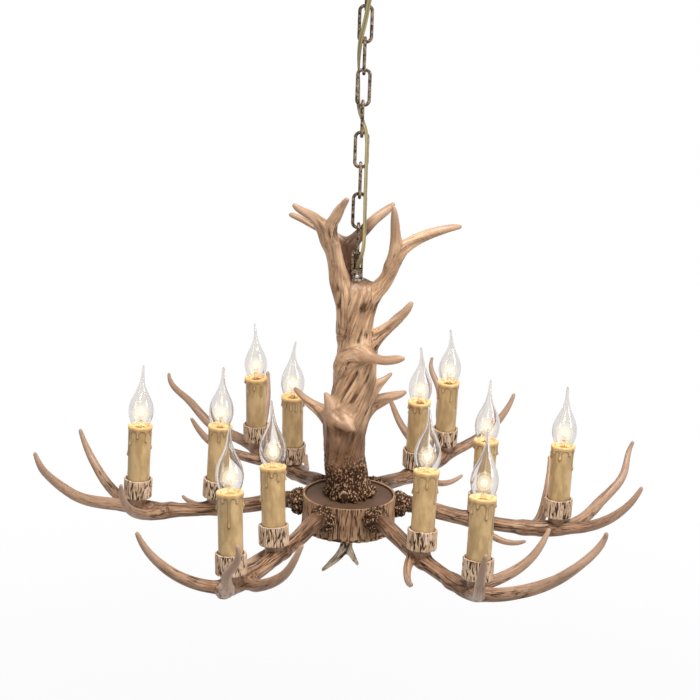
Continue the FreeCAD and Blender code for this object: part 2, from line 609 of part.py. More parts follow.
def arm_casting():
    """One antler arm with its tines, candle posts and coronet, in its own frame."""
    beam = [(-4, 0, 0, 24), (24, 0, 1, 23.5), (55, 0, -4.5, 22.5), (86, 0, -10, 21.5), (128, -1, -15, 21),
            (180, 1, -19, 20), (222, 1, -18, 20), (257, 9, -11, 18.5), (289, 35, 3, 17), (318, 59, 26, 14.5),
            (340, 80, 56, 11.5), (350, 98, 91, 6.6)]
    minus_tine = [(212, 2, -18, 18), (246, -6, -13, 17), (274, -24, 0, 15.5), (296, -42, 20, 13.5),
                  (314, -56, 46, 10.5), (326, -63, 74, 6.4)]
    plus_tine = [(186, 0, -19, 17), (208, 20, -20, 16.5), (224, 56, -5, 14.5), (231, 82, 13, 12.5),
                 (234, 98, 33, 10), (233, 110, 54, 6)]
    small_tine = [(108, 2, -12, 17), (116, -15, -13, 14.5), (127, -27, -19, 12), (143, -38, -25, 10),
                  (161, -47, -26, 8.4), (178, -56, -19, 5.4)]
    body = joined([horn(s) for s in (beam, minus_tine, plus_tine, small_tine)])
    crown = burr(ARM_BURR_D, ARM_BURR_THICK + 4, ARM_BURR_LOBES)
    crown.rotate(Vector(), Vector(0, 1, 0), 90)
    crown.translate(Vector(-4, 0, 0))
    posts = []
    for seat in (INNER_SEAT, OUTER_SEAT):
        foot = 18.0
        post = Part.makeCone(POST_FOOT_D / 2, POST_TOP_D / 2, foot, Vector(0, 0, -foot))
        posts.append(placed(post, candle_place(seat)))
    body = joined([body, crown] + posts)
    for seat in (INNER_SEAT, OUTER_SEAT):
        socket = cylinder(NIPPLE_D, NIPPLE_LENGTH + 1, -NIPPLE_LENGTH)
        clear = cylinder(cup_d(), SLEEVE_TOP, 0)
        body = body.cut(placed(socket.fuse(clear), candle_place(seat)))
    return body.cut(rod_along_arm(BOLT_D, -10, BOLT_GRIP))


def antler_arm(number, casting):
    """The casting at its place, its root cut to the drum's round wall."""
    drum = cylinder(DRUM_D, 3 * DRUM_HEIGHT, DRUM_FLOOR_Z - DRUM_HEIGHT)
    return placed(casting, arm_place(number)).cut(drum)


def antler_finial():
    """Small forked antler that screws on to the stem under the drum."""
    main = [(0, 0, 2, 19), (0, 0, -14, 15.5), (-2, -1, -30, 15), (-9, -4, -44, 12.5), (-21, -8, -56, 9.5),
            (-33, -12, -66, 5.6)]
    fork = [(-1, 0, -26, 13), (3, -3, -38, 11), (9, -6, -48, 8.5), (15, -8, -57, 5.2)]
    crown = burr(FINIAL_BURR_D, FINIAL_BURR_THICK, FINIAL_BURR_LOBES)
    crown.rotate(Vector(), OUT, 180)
    body = joined([horn(main), horn(fork), crown])
    above = cylinder(2 * FINIAL_BURR_D, 10, 0)
    body = body.cut(above)
    body.translate(Vector(0, 0, LOWER_PLATE_Z))
    return body.cut(cylinder(STEM_D, STEM_IN_FINIAL + 1, LOWER_PLATE_Z - STEM_IN_FINIAL))


def cup_d():
    return SLEEVE_D + 2 * CUP_CLEARANCE + 2 * CUP_WALL


def candle_cup():
    """Bark-covered collar; the candle's foot stands on its floor."""
    body = cylinder(cup_d(), CUP_HEIGHT)
    rims = [e for e in body.Edges if abs(e.Length - math.pi * cup_d()) < 0.1]
    body = body.makeFillet(CUP_WALL / 3, rims)
    body = body.cut(cylinder(SLEEVE_D + 2 * CUP_CLEARANCE, CUP_HEIGHT, CUP_FLOOR))
    return body.cut(cylinder(NIPPLE_D, CUP_FLOOR + 2, -1))


def candle_sleeve():
    return ring(SLEEVE_D, SLEEVE_D - 2 * SLEEVE_WALL, SLEEVE_LENGTH, CUP_FLOOR)


def cap_foot():
    """Height of the bulb cap's lowest point in the candle's frame."""
    return SLEEVE_TOP - BULB_NECK_DEPTH - CAP_LENGTH - CAP_CONTACT_HEIGHT


def lamp_holder():
    """Lamp holder on its pipe: nipple, flange, pipe, and the head with the socket for the screw cap."""
    top = SLEEVE_TOP - HOLDER_BELOW_RIM
    head_r = SLEEVE_D / 2 - SLEEVE_WALL - HOLDER_CLEARANCE
    bore_r = CAP_D / 2 + CAP_CLEARANCE
    floor = cap_foot() - CAP_CLEARANCE
    pipe_r, flange_r = HOLDER_PIPE_D / 2, HOLDER_FLANGE_D / 2
    low = min(top - HOLDER_HEAD_HEIGHT, floor - 3)
    profile = [(0, -NIPPLE_LENGTH), (NIPPLE_D / 2, -NIPPLE_LENGTH), (NIPPLE_D / 2, CUP_FLOOR),
               (flange_r, CUP_FLOOR), (flange_r, CUP_FLOOR + HOLDER_FLANGE_THICK),
               (pipe_r, CUP_FLOOR + HOLDER_FLANGE_THICK), (pipe_r, low - (head_r - pipe_r) * 0.6),
               (head_r, low), (head_r, top), (bore_r, top), (bore_r, floor), (0, floor)]
    return revolve(profile)


def turned_bulb(inset, shares):
    """Solid of the bulb's round part: an outline of arcs turned about the axis, inset by a wall or not."""
    foot = SLEEVE_TOP - BULB_NECK_DEPTH
    points = [Vector(BULB_NECK_D / 2 - inset, 0, foot)]
    for share, half in shares:
        points.append(Vector(BULB_D / 2 * half - inset, 0, SLEEVE_TOP + BULB_HEIGHT * share))
    low, high = Vector(0, 0, foot), Vector(0, 0, points[-1].z)
    edges = [Part.Arc(*points[i:i + 3]).toShape() for i in range(0, len(points) - 2, 2)]
    edges += [Part.LineSegment(points[-1], high).toShape(), Part.LineSegment(high, low).toShape(),
              Part.LineSegment(low, points[0]).toShape()]
    return Part.Face(Part.Wire(edges)).revolve(Vector(), UP, 360)


def bulb_tip(shares):
    """The solid drawn-out tip, bent to one side."""
    wires = []
    start = shares[0][0]
    for share, half in shares:
        bend = BULB_TIP_BEND * ((share - start) / (1 - start)) ** 2
        middle = Vector(bend, 0, SLEEVE_TOP + BULB_HEIGHT * share)
        wires.append(Part.Wire(Part.makeCircle(BULB_D / 2 * half, middle)))
    return Part.makeLoft(wires, True, False, False, LOFT_DEGREE)


def bulb_glass():
    """Flame bulb: half-widths at shares of its height above the candle's rim, then the wall."""
    round_part = ((0.08, 0.865), (0.235, 1.0), (0.35, 0.935), (0.46, 0.735), (0.56, 0.49), (0.62, 0.365))
    tip = (round_part[-1], (0.69, 0.25), (0.78, 0.165), (0.88, 0.12), (1.0, 0.075))
    return turned_bulb(0.0, round_part).fuse(bulb_tip(tip)).cut(turned_bulb(BULB_WALL, round_part))


def bulb_cap():
    """Screw cap with its contact, and the glass mount that carries the filament."""
    top = SLEEVE_TOP - BULB_NECK_DEPTH
    low = top - CAP_LENGTH
    profile = [(0, cap_foot()), (CAP_CONTACT_D / 2 - 1.5, cap_foot()), (CAP_CONTACT_D / 2, low),
               (CAP_D / 2 - 1.5, low), (CAP_D / 2, low + 3), (CAP_D / 2, top), (0, top)]
    mount = Part.makeCone(MOUNT_D / 2, MOUNT_D / 4, MOUNT_HEIGHT, Vector(0, 0, top))
    pieces = [mount]
    perch = top + MOUNT_HEIGHT
    half = FILAMENT_SPAN / 2
    peak = perch + FILAMENT_RISE
    zigzag = [Vector(-MOUNT_D / 8, 0, perch - 1), Vector(-half, 0, peak),
              Vector(0, 0, perch + FILAMENT_RISE * 0.45), Vector(half, 0, peak),
              Vector(MOUNT_D / 8, 0, perch - 1)]
    for a, b in zip(zigzag, zigzag[1:]):
        pieces.append(Part.makeCylinder(FILAMENT_WIRE_D / 2, a.distanceToPoint(b), a, b - a))
        pieces.append(Part.makeSphere(FILAMENT_WIRE_D / 2, b))
    return Part.makeCompound([revolve(profile), pieces[0].fuse(pieces[1:])])


def candle_places():
    """(name, place) of the twelve candles, the inner and the outer one of each arm."""
    places = []
    for k in range(ARM_COUNT):
        for row, seat in (("inner", INNER_SEAT), ("outer", OUTER_SEAT)):
            places.append(("%s_%d" % (row, k + 1), arm_place(k).multiply(candle_place(seat))))
    return places


def tip_turn(name, place):
    """Turn about the candle's axis that points the bulb's tip the way it was left."""
    row, number = name.split("_")
    wanted = (INNER_TIP_TURN if row == "inner" else OUTER_TIP_TURN)[int(number) - 1]
    side = place.Rotation.multVec(OUT)
    return Placement(Vector(), Rotation(UP, wanted - math.degrees(math.atan2(side.y, side.x))))


def cord_path():
    """Straight runs joined by the largest tangent arcs that they allow; prints the arcs' radii."""
    points = [Vector(*p) for p in CORD_ROUTE]
    edges = []
    radii = []
    at = points[0]
    length = 0.0
    for before, corner, after in zip(points, points[1:], points[2:]):
        back, ahead = before - corner, after - corner
        run = min(back.Length, ahead.Length)
        turn = math.pi - back.getAngle(ahead)
        setback = 0.45 * run
        radius = setback / math.tan(turn / 2)
        back.normalize()
        ahead.normalize()
        inward = back + ahead
        inward.normalize()
        start, end = corner + back * setback, corner + ahead * setback
        middle = corner + inward * (radius / math.cos(turn / 2) - radius)
        edges.append(Part.LineSegment(at, start).toShape())
        edges.append(Part.Arc(start, middle, end).toShape())
        length += at.distanceToPoint(start) + radius * turn
        radii.append(radius)
        at = end
    edges.append(Part.LineSegment(at, points[-1]).toShape())
    length += at.distanceToPoint(points[-1])
    print("flex radii", " ".join("%.0f" % r for r in radii), "length %.1f" % length)
    return Part.Wire(edges), length


def supply_cord():
    path, length = cord_path()
    tube = pipe(path, CORD_D)
    print("flex volume %.1f, section times length %.1f" % (tube.Volume, math.pi * CORD_D ** 2 / 4 * length))
    return tube


def build():
    """Every piece of the lamp by name."""
    parts = {
        "ceiling_bracket": ceiling_bracket(),
        "loop_lock_nut": loop_lock_nut(),
        "canopy": canopy(),
        "canopy_collar": canopy_collar(),
        "ceiling_loop": ceiling_loop(),
        "cord_bushing": cord_bushing(),
        "terminal_block": terminal_block(),
        "supply_cord": supply_cord(),
        "hanger_yoke": hanger_yoke(),
        "yoke_screw": yoke_screw(),
        "star_washer": star_washer(),
        "stem_tube": stem_tube(),
        "antler_column": antler_column(),
        "hub_top_plate": hub_top_plate(),
        "hub_drum": hub_drum(),
        "hub_bottom_plate": hub_bottom_plate(),
        "antler_finial": antler_finial(),
        "arm_bolts": arm_bolts(),
    }
    for number in range(1, LINK_COUNT + 1):
        parts["chain_link_%d" % number] = chain_link(number)
    casting = arm_casting()
    for k in range(ARM_COUNT):
        parts["antler_arm_%d" % (k + 1)] = antler_arm(k, casting)
    places = candle_places()
    for node, piece in (("candle_cups", candle_cup()), ("candle_sleeves", candle_sleeve()),
                        ("lamp_holders", lamp_holder())):
        parts[node] = Part.makeCompound([placed(piece, place) for name, place in places])
    glass, cap = bulb_glass(), bulb_cap()
    for name, place in places:
        turned = place.multiply(tip_turn(name, place))
        parts["bulb_glass_" + name] = placed(glass, turned)
        parts["bulb_cap_" + name] = placed(cap, turned)
    return parts


os.makedirs("parts", exist_ok=True)
for node, shape in build().items():
    print("%-20s solids %2d  %s  volume %.0f" % (node, len(shape.Solids), shape.isValid(), shape.Volume))
    shape.exportStep("parts/%s.step" % node)
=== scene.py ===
import json
import math

import bmesh
import bpy
import numpy as np
from mathutils import Matrix, Vector, noise


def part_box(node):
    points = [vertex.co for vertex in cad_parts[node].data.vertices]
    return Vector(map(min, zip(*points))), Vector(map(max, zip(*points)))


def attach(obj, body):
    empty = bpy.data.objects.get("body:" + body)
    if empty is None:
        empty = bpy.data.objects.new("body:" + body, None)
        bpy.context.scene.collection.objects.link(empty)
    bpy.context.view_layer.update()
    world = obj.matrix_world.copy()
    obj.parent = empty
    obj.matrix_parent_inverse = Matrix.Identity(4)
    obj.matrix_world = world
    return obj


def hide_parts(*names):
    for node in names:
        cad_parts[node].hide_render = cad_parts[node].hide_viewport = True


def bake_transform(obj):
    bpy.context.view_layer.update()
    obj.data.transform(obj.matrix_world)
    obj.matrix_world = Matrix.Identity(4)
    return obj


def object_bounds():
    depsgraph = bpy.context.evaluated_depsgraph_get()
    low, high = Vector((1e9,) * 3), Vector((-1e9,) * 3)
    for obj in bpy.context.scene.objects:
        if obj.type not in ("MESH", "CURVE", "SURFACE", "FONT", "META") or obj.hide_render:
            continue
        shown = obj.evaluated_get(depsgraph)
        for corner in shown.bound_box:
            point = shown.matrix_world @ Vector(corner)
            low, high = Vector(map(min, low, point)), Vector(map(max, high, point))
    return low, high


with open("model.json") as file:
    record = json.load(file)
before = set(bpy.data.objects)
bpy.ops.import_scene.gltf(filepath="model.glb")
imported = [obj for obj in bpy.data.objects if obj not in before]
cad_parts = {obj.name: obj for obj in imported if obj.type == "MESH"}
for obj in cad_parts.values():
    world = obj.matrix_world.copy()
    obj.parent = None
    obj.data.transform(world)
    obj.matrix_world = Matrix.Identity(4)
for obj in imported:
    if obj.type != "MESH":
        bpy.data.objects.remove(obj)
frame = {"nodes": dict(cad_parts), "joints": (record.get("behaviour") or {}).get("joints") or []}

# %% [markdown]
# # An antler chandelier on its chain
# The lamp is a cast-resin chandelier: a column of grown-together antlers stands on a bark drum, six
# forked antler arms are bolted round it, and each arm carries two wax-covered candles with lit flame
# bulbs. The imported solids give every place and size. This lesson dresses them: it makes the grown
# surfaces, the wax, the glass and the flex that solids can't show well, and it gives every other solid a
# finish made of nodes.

CAD_LOW, CAD_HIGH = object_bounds()
JOINTS = {joint["name"]: joint for joint in frame["joints"]}

# %% [markdown]
# ## The camera
# A camera was fitted to the twelve candles in the photograph. It stands two metres in front of the lamp,
# a little above the candles, looks down by fifteen degrees and leans two degrees to one side, as a camera
# held by hand does.

# %% Camera
EYE = Vector((-0.0057, -2.0145, -0.0331))
LOOK_DOWN, LEAN = math.radians(15.34), math.radians(1.97)
FOCAL_PIXELS, PHOTO_PIXELS = 1535.6, 700

lens = bpy.data.cameras.new("camera")
lens.sensor_width = 36.0
lens.lens = FOCAL_PIXELS / PHOTO_PIXELS * lens.sensor_width
camera = bpy.data.objects.new("camera", lens)
bpy.context.scene.collection.objects.link(camera)
camera.matrix_world = (Matrix.Translation(EYE) @ Matrix.Rotation(math.pi / 2 - LOOK_DOWN, 4, "X")
                       @ Matrix.Rotation(LEAN, 4, "Z"))
bpy.context.scene.camera = camera
print("lens %.1f mm" % lens.lens)

# %% [markdown]
# ## A way to write finishes
# A finish is a small tree of nodes. Written link by link it is hard to read, so one class wraps a socket
# and lets sums be written as Python: `1 - mask * 0.5` adds the Math nodes by itself. Every other node
# comes from one method.

# %% Finishes as expressions
class Wire:
    """An output socket of the finish that is being written."""

    tree = None

    def __init__(self, socket):
        self.socket = socket

    @classmethod
    def node(cls, kind, settings, values, output=0):
        """A node: its settings first, then its inputs by name or number, then one of its outputs."""
        made = cls.tree.nodes.new(kind)
        for name, value in settings.items():
            setattr(made, name, value)
        for name, value in values.items():
            if isinstance(value, Wire):
                cls.tree.links.new(value.socket, made.inputs[name])
            else:
                made.inputs[name].default_value = value
        return Wire(made.outputs[output]) if len(made.outputs) else None

    def sum(self, operation, other, swapped=False):
        """A Math node over this value and another one."""
        pair = (other, self) if swapped else (self, other)
        return Wire.node("ShaderNodeMath", {"operation": operation}, dict(enumerate(pair)))

    def __add__(self, other):
        return self.sum("ADD", other)

    def __radd__(self, other):
        return self.sum("ADD", other)

    def __sub__(self, other):
        return self.sum("SUBTRACT", other)

    def __rsub__(self, other):
        return self.sum("SUBTRACT", other, True)

    def __mul__(self, other):
        return self.sum("MULTIPLY", other)

    def step(self, low, high):
        """0 below low, 1 above high, smooth between."""
        values = {"Value": self, "From Min": low, "From Max": high}
        return Wire.node("ShaderNodeMapRange", {"interpolation_type": "SMOOTHSTEP"}, values)

    def pick(self, first, second):
        """The first colour where this is 0 and the second where it is 1."""
        ends = {0: self, 6: first if isinstance(first, Wire) else (*first, 1),
                7: second if isinstance(second, Wire) else (*second, 1)}
        return Wire.node("ShaderNodeMix", {"data_type": "RGBA"}, ends, 2)


print("expressions ready")

# %% [markdown]
# Most finishes start from the same few things: the place of a point on the piece, a value that the mesh
# keeps, and noise. These get short names. A finish is begun, written and closed, and it is then found by
# its name.

# %% Words of a finish
def place():
    """Where a point lies on its piece, in metres."""
    return Wire.node("ShaderNodeTexCoord", {}, {}, "Object")


def kept(name, output="Fac"):
    """A value or a vector that the mesh keeps at its points."""
    return Wire.node("ShaderNodeAttribute", {"attribute_name": name}, {}, output)


def grain(vector, scale, detail=3.0, rough=0.55):
    """Cloudy noise from 0 to 1. A larger scale makes it finer."""
    values = {"Vector": vector, "Scale": scale, "Detail": detail, "Roughness": rough}
    return Wire.node("ShaderNodeTexNoise", {}, values)


def stretched(vector, x, y, z):
    """A place with each of its three directions scaled."""
    return Wire.node("ShaderNodeMapping", {}, {"Vector": vector, "Scale": (x, y, z)})


FINISHES = {}


def begin(name):
    """Starts a finish. The nodes that follow belong to it."""
    made = bpy.data.materials.new(name)
    made.use_nodes = True
    made.node_tree.nodes.clear()
    Wire.tree = made.node_tree
    FINISHES[name] = made


def finish(colour, rough, height=None, depth=0.0, **fixed):
    """Closes the finish that was begun: one shader with a colour, a roughness, a relief and other sockets."""
    values = {"Base Color": colour if isinstance(colour, Wire) else (*colour, 1), "Roughness": rough}
    values.update({key.replace("_", " "): value for key, value in fixed.items()})
    if height is not None:
        bump = {"Height": height, "Distance": depth, "Strength": 1.0}
        values["Normal"] = Wire.node("ShaderNodeBump", {}, bump)
    shader = Wire.node("ShaderNodeBsdfPrincipled", {}, values)
    Wire.node("ShaderNodeOutputMaterial", {}, {"Surface": shader})


print("finish writer ready")

# %% [markdown]
# ## Making and placing a piece
# Every new piece goes the same way: its bmesh becomes a mesh with its place in its points, it gets its
# finish, it rides on the body that carries it, and the solids that it stands for are hidden.

# %% Piece helper
def as_mesh(shape, name):
    """A bmesh made a mesh."""
    mesh = bpy.data.meshes.new(name)
    shape.to_mesh(mesh)
    shape.free()
    return mesh


def piece(name, shape, finish_name, body, stands_for=()):
    """A finished object from a bmesh or a mesh."""
    mesh = as_mesh(shape, name) if isinstance(shape, bmesh.types.BMesh) else shape
    mesh.name = name
    mesh.materials.append(FINISHES[finish_name])
    mesh.polygons.foreach_set("use_smooth", [True] * len(mesh.polygons))
    made = bpy.data.objects.new(name, mesh)
    bpy.context.scene.collection.objects.link(made)
    if body:
        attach(made, body)
    if stands_for:
        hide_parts(*stands_for)
    return made


print("piece helper ready")

# %% [markdown]
# The grown pieces are shaped by sums over all the points of a mesh at once, which numpy does quickly.
# These helpers read a mesh's points and normals, move its points, keep values at them, and spin an
# outline into a round shape.

# %% Mesh helpers
def keep(mesh, name, values, kind="FLOAT"):
    """Stores a value or a vector at each point of a mesh for its finish to read."""
    data = mesh.attributes.new(name, kind, "POINT").data
    data.foreach_set("value" if kind == "FLOAT" else "vector", np.asarray(values, np.float32).ravel())


def spun(outline, steps):
    """A bmesh turned about the upright axis from (radius, height) points."""
    shape = bmesh.new()
    points = [shape.verts.new((r, 0, z)) for r, z in outline]
    edges = [shape.edges.new(pair) for pair in zip(points, points[1:])]
    bmesh.ops.spin(shape, geom=points + edges, cent=(0, 0, 0), axis=(0, 0, 1), angle=math.tau, steps=steps,
                   use_merge=True)
    bmesh.ops.remove_doubles(shape, verts=shape.verts, dist=1e-7)
    bmesh.ops.recalc_face_normals(shape, faces=shape.faces)
    return shape


def smooth_step(x, low, high):
    """0 below low, 1 above high, smooth between, for each value of an array."""
    t = np.clip((x - low) / (high - low), 0, 1)
    return t * t * (3 - 2 * t)


def noise_at(points, scale=1.0, offset=0.0):
    """Smooth noise, about -1 to 1, at each row of an array of points."""
    rows = np.asarray(points, float) * scale + offset
    return np.array([noise.noise(row) for row in rows])


def points_of(mesh):
    """The points of a mesh, one in each row."""
    points = np.zeros(len(mesh.vertices) * 3, np.float32)
    mesh.vertices.foreach_get("co", points)
    return points.reshape(-1, 3).astype(float)


def normals_of(mesh):
    """The normals at the points of a mesh, one in each row."""
    normals = np.zeros(len(mesh.vertices) * 3, np.float32)
    mesh.vertices.foreach_get("normal", normals)
    return normals.reshape(-1, 3).astype(float)


def move_points(mesh, points):
    """Gives the points of a mesh new places."""
    mesh.vertices.foreach_set("co", np.asarray(points, np.float32).ravel())
    mesh.update()


print("mesh helpers ready")

# %% [markdown]
# ## The flex
# A flat twin flex is laced along the chain: it drops from the canopy, passes in front of the upper links,
# goes behind the fourth, through the fifth and down the front to the stem. Its route repeats the solid's
# points as the control points of one smooth spline.

# %% Route of the flex
FLEX_ROUTE = (
    (17.0, -20.0, -23.0), (17.0, -20.0, -36.0), (17.3, -20.1, -51.0), (17.0, -20.0, -67.0),
    (13.5, -18.5, -82.0), (8.5, -16.5, -99.0), (4.0, -14.6, -117.0), (1.4, -11.8, -135.0),
    (-1.6, -9.4, -152.0), (-5.6, -7.8, -169.0), (-7.2, -3.8, -186.0), (-7.2, 3.2, -202.0),
    (-6.6, 7.4, -219.0), (-6.4, 7.6, -236.0), (-6.0, 5.6, -252.0), (-4.0, 2.6, -264.0),
    (1.0, -1.4, -275.0), (5.4, -5.2, -286.0), (7.4, -6.6, -303.0), (7.2, -6.2, -327.0),
    (7.6, -6.6, -352.0), (7.4, -6.4, -378.0), (8.0, -6.8, -403.0), (8.2, -8.4, -424.0),
    (7.8, -10.6, -440.0), (5.4, -10.7, -453.0), (1.4, -6.0, -464.0), (0.3, -0.9, -475.0),
    (0.0, 0.0, -489.0),
)
FLEX_WIDTH, FLEX_THICK = 0.0062, 0.0034

route = bpy.data.curves.new("flex_route", "CURVE")
route.dimensions = "3D"
spline = route.splines.new("NURBS")
spline.points.add(len(FLEX_ROUTE) - 1)
for point, (x, y, z) in zip(spline.points, FLEX_ROUTE):
    point.co = (x / 1000, y / 1000, z / 1000, 1)
spline.order_u = 3
spline.use_endpoint_u = True
spline.resolution_u = 8
carrier = bpy.data.objects.new("flex_route", route)
flex_line = [Vector(v.co) for v in bpy.data.meshes.new_from_object(carrier).vertices]
bpy.data.objects.remove(carrier)
flex_length = sum((b - a).length for a, b in zip(flex_line, flex_line[1:]))
print("flex points", len(flex_line), "length %.3f m" % flex_length)

# %% [markdown]
# The skin is an olive plastic with a soft gloss, a little uneven along its length. It is painted darker in
# the groove between the two cores, as shade. The groove comes from a value that each length keeps at its
# points.

# %% Finish of the flex
begin("flex_skin")
speck = grain(place(), 900, 2)
tone = grain(stretched(place(), 60, 60, 14), 1.0, 3)
skin = tone.step(0.35, 0.65).pick((0.262, 0.208, 0.084), (0.355, 0.292, 0.128))
# Painted shade: dark olive in the groove between the cores.
finish(kept("groove_shade").pick(skin, (0.120, 0.092, 0.036)),
       0.34 + speck * 0.12, speck, 0.00015, Coat_Weight=0.25, Coat_Roughness=0.3)
print("flex finish ready")

# %% [markdown]
# The two cores lie side by side in one soft skin, so the section is a flat eight. The flat side faces the
# chain, and it turns slowly as the flex winds round it. A bevelled curve could not turn its section in
# this way, so a ring is extruded from point to point of the route.

# %% Tube of flex
FLEX_SIDES = 20


def flex_turn(along, flat):
    """The turn that lays a level ring across the flex."""
    return Matrix((along.cross(flat), flat, along)).transposed().to_4x4()


def flex_section(shape, at, along, flat, share):
    """The first ring of a length of flex: a circle pressed into a flat eight, at a share of the full size."""
    made = bmesh.ops.create_circle(shape, cap_ends=False, segments=FLEX_SIDES, radius=1.0)["verts"]
    for v in made:
        waist = 1 - 0.34 * math.exp(-(v.co.x / 0.3) ** 2)
        v.co = Vector((v.co.x * FLEX_WIDTH, v.co.y * FLEX_THICK * waist, 0)) * share / 2
    bmesh.ops.transform(shape, matrix=Matrix.Translation(at) @ flex_turn(along, flat), verts=made)


def flex_tube(line, flats, alongs, share=1.0):
    """A closed tube that follows the line: the ring is extruded from point to point and turned as it goes.
    A share below one makes the first ring slim, and the second has the full size."""
    shape = bmesh.new()
    flex_section(shape, line[0], alongs[0], flats[0], share)
    first_edges = edges = list(shape.edges)
    bmesh.ops.contextual_create(shape, geom=edges)
    for i in range(1, len(line)):
        grown = bmesh.ops.extrude_edge_only(shape, edges=edges)["geom"]
        ring = [g for g in grown if isinstance(g, bmesh.types.BMVert)]
        edges = [g for g in grown if isinstance(g, bmesh.types.BMEdge)]
        wider = Matrix.Scale(1 / share if i == 1 else 1, 4)
        turn = flex_turn(alongs[i], flats[i]) @ wider @ flex_turn(alongs[i - 1], flats[i - 1]).inverted()
        move = Matrix.Translation(line[i]) @ turn @ Matrix.Translation(-line[i - 1])
        bmesh.ops.transform(shape, matrix=move, verts=ring)
    bmesh.ops.contextual_create(shape, geom=edges)
    bmesh.ops.recalc_face_normals(shape, faces=shape.faces)
    for edge in first_edges + edges:
        edge.smooth = False
    return shape


print("ring of the flex", FLEX_SIDES, "points")

# %% [markdown]
# At each point of the route the flat side is carried over from the point before it and pulled a little
# outwards, away from the chain. So it never flips, and it turns only as quickly as the flex winds.

# %% Turn of the flat side
alongs = [(flex_line[min(i + 1, len(flex_line) - 1)] - flex_line[max(i - 1, 0)]).normalized()
          for i in range(len(flex_line))]
flats = []
for at, along in zip(flex_line, alongs):
    outward = Vector((at.x, at.y, 0)) * 120
    last = flats[-1] if flats else outward
    if outward.dot(last) < 0:
        outward = -outward
    flat = last.normalized() + 0.12 * outward
    flats.append((flat - along * flat.dot(along)).normalized())
print("turn of the flat side %.0f degrees" % math.degrees(flats[0].angle(flats[-1])))

# %% [markdown]
# The flex crosses ten joints, so it is cut at the middle of the links, and each length runs across one
# joint, between the two bodies that it joins; its points are baked in place. At the sixth joint two
# lengths only meet: the slim end of the lower one sits inside the upper one, and a full swing parts them
# by about a millimetre.

# %% Lengths of flex
def flex_point(z):
    """The number of the flex's point that is nearest to a height."""
    return min(range(len(flex_line)), key=lambda i: abs(flex_line[i].z - z))


CHAIN_BODIES = ["ceiling"] + ["link_%d" % n for n in range(1, 10)] + ["fixture"]
SWINGS = ["link_%d_swing" % n for n in range(1, 10)] + ["fixture_swing"]
MEETING = 6             # the joint where two lengths meet
SLIM = 0.9              # the size of the end that sits inside the other length
FROM_BELOW = (4, 10)    # joints set apart, though both branches below bake the length the same way
BEND = 0.012            # a height above and below a joint; the points made from it are not used
swing_z = [JOINTS[name]["pos_m"][2] for name in SWINGS]
link_middle = [sum(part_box("chain_link_%d" % n), Vector()).z / 2 for n in range(1, 10)]
cuts = [0] + [flex_point(z) for z in link_middle] + [len(flex_line) - 1]
cuts[MEETING - 1] = cuts[MEETING] = flex_point(swing_z[MEETING - 1])
bent_joints = [n for n in range(1, 11) if n != MEETING]
for count, n in enumerate(bent_joints, 1):
    plugged = n == MEETING + 1
    first, final = cuts[n - 1] - (1 if plugged else 0), cuts[n]
    stretch = flex_line[first:final + 1]
    tube = flex_tube(stretch, flats[first:final + 1], alongs[first:final + 1], SLIM if plugged else 1.0)
    flex = piece("flex_%d" % count, tube, "flex_skin", None, ["supply_cord"])
    rings = points_of(flex.data).reshape(-1, FLEX_SIDES, 3)
    reach = np.linalg.norm(rings - rings.mean(axis=1, keepdims=True), axis=2).ravel()
    # The groove value is 1 in the waist between the two cores, where the finish paints shade.
    keep(flex.data, "groove_shade", 1 - smooth_step(reach, 0.0011, 0.0018))
    upper, lower = CHAIN_BODIES[n - 1], CHAIN_BODIES[n]
    above, below = (0, 0, swing_z[n - 1] + BEND), (0, 0, swing_z[n - 1] - BEND)
    if n in FROM_BELOW:
        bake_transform(flex)
    else:
        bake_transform(flex)
print("lengths of flex", len(bent_joints))

# %% [markdown]
# ## Bronze, steel and plastics
# The chain, the loop and the canopy have an antique bronze paint: brown with pale specks where the
# casting stands proud and dark in its hollows. The plates of the hub are a smoother, darker brown.

# %% Metal finishes
begin("speckled_bronze")
coarse, fine = grain(place(), 320, 4, 0.7), grain(place(), 900, 2, 0.6)
worn = (coarse * 0.6 + fine * 0.4).step(0.48, 0.60)
brown = grain(place(), 160, 2).step(0.4, 0.6).pick((0.018, 0.011, 0.007), (0.130, 0.085, 0.052))
finish(worn.pick(brown, (0.43, 0.315, 0.215)), 0.60 - worn * 0.18,
       coarse + fine * 0.5, 0.0006, Metallic=0.25, Specular_IOR_Level=0.3)

begin("plate_bronze")
cloud, dust = grain(place(), 26, 3), grain(place(), 700, 2)
paint = cloud.step(0.3, 0.7).pick((0.078, 0.042, 0.024), (0.104, 0.058, 0.035))
finish(paint, 0.52 + dust * 0.16, dust, 0.0001, Specular_IOR_Level=0.2)

begin("bright_steel")
scratch = grain(stretched(place(), 900, 900, 90), 1.0, 3)
zinc = scratch.step(0.3, 0.7).pick((0.50, 0.49, 0.47), (0.68, 0.67, 0.65))
finish(zinc, 0.22 + scratch * 0.2, scratch, 0.00006, Metallic=1.0)

begin("pale_plastic")
mould = grain(place(), 500, 3)
tint = mould.step(0.35, 0.65).pick((0.66, 0.63, 0.56), (0.74, 0.71, 0.64))
finish(tint, 0.45 + mould * 0.1, mould, 0.0001)

begin("black_plastic")
mould = grain(place(), 700, 3)
tint = mould.step(0.35, 0.65).pick((0.018, 0.018, 0.018), (0.035, 0.034, 0.033))
finish(tint, 0.5 + mould * 0.15, mould, 0.0001)
print("finishes", len(FINISHES))

# %% [markdown]
# The metal and plastic solids are right as they are: the links have their seams, the yoke its window and
# the canopy its rounded wall. They keep their own mesh and only take a finish.

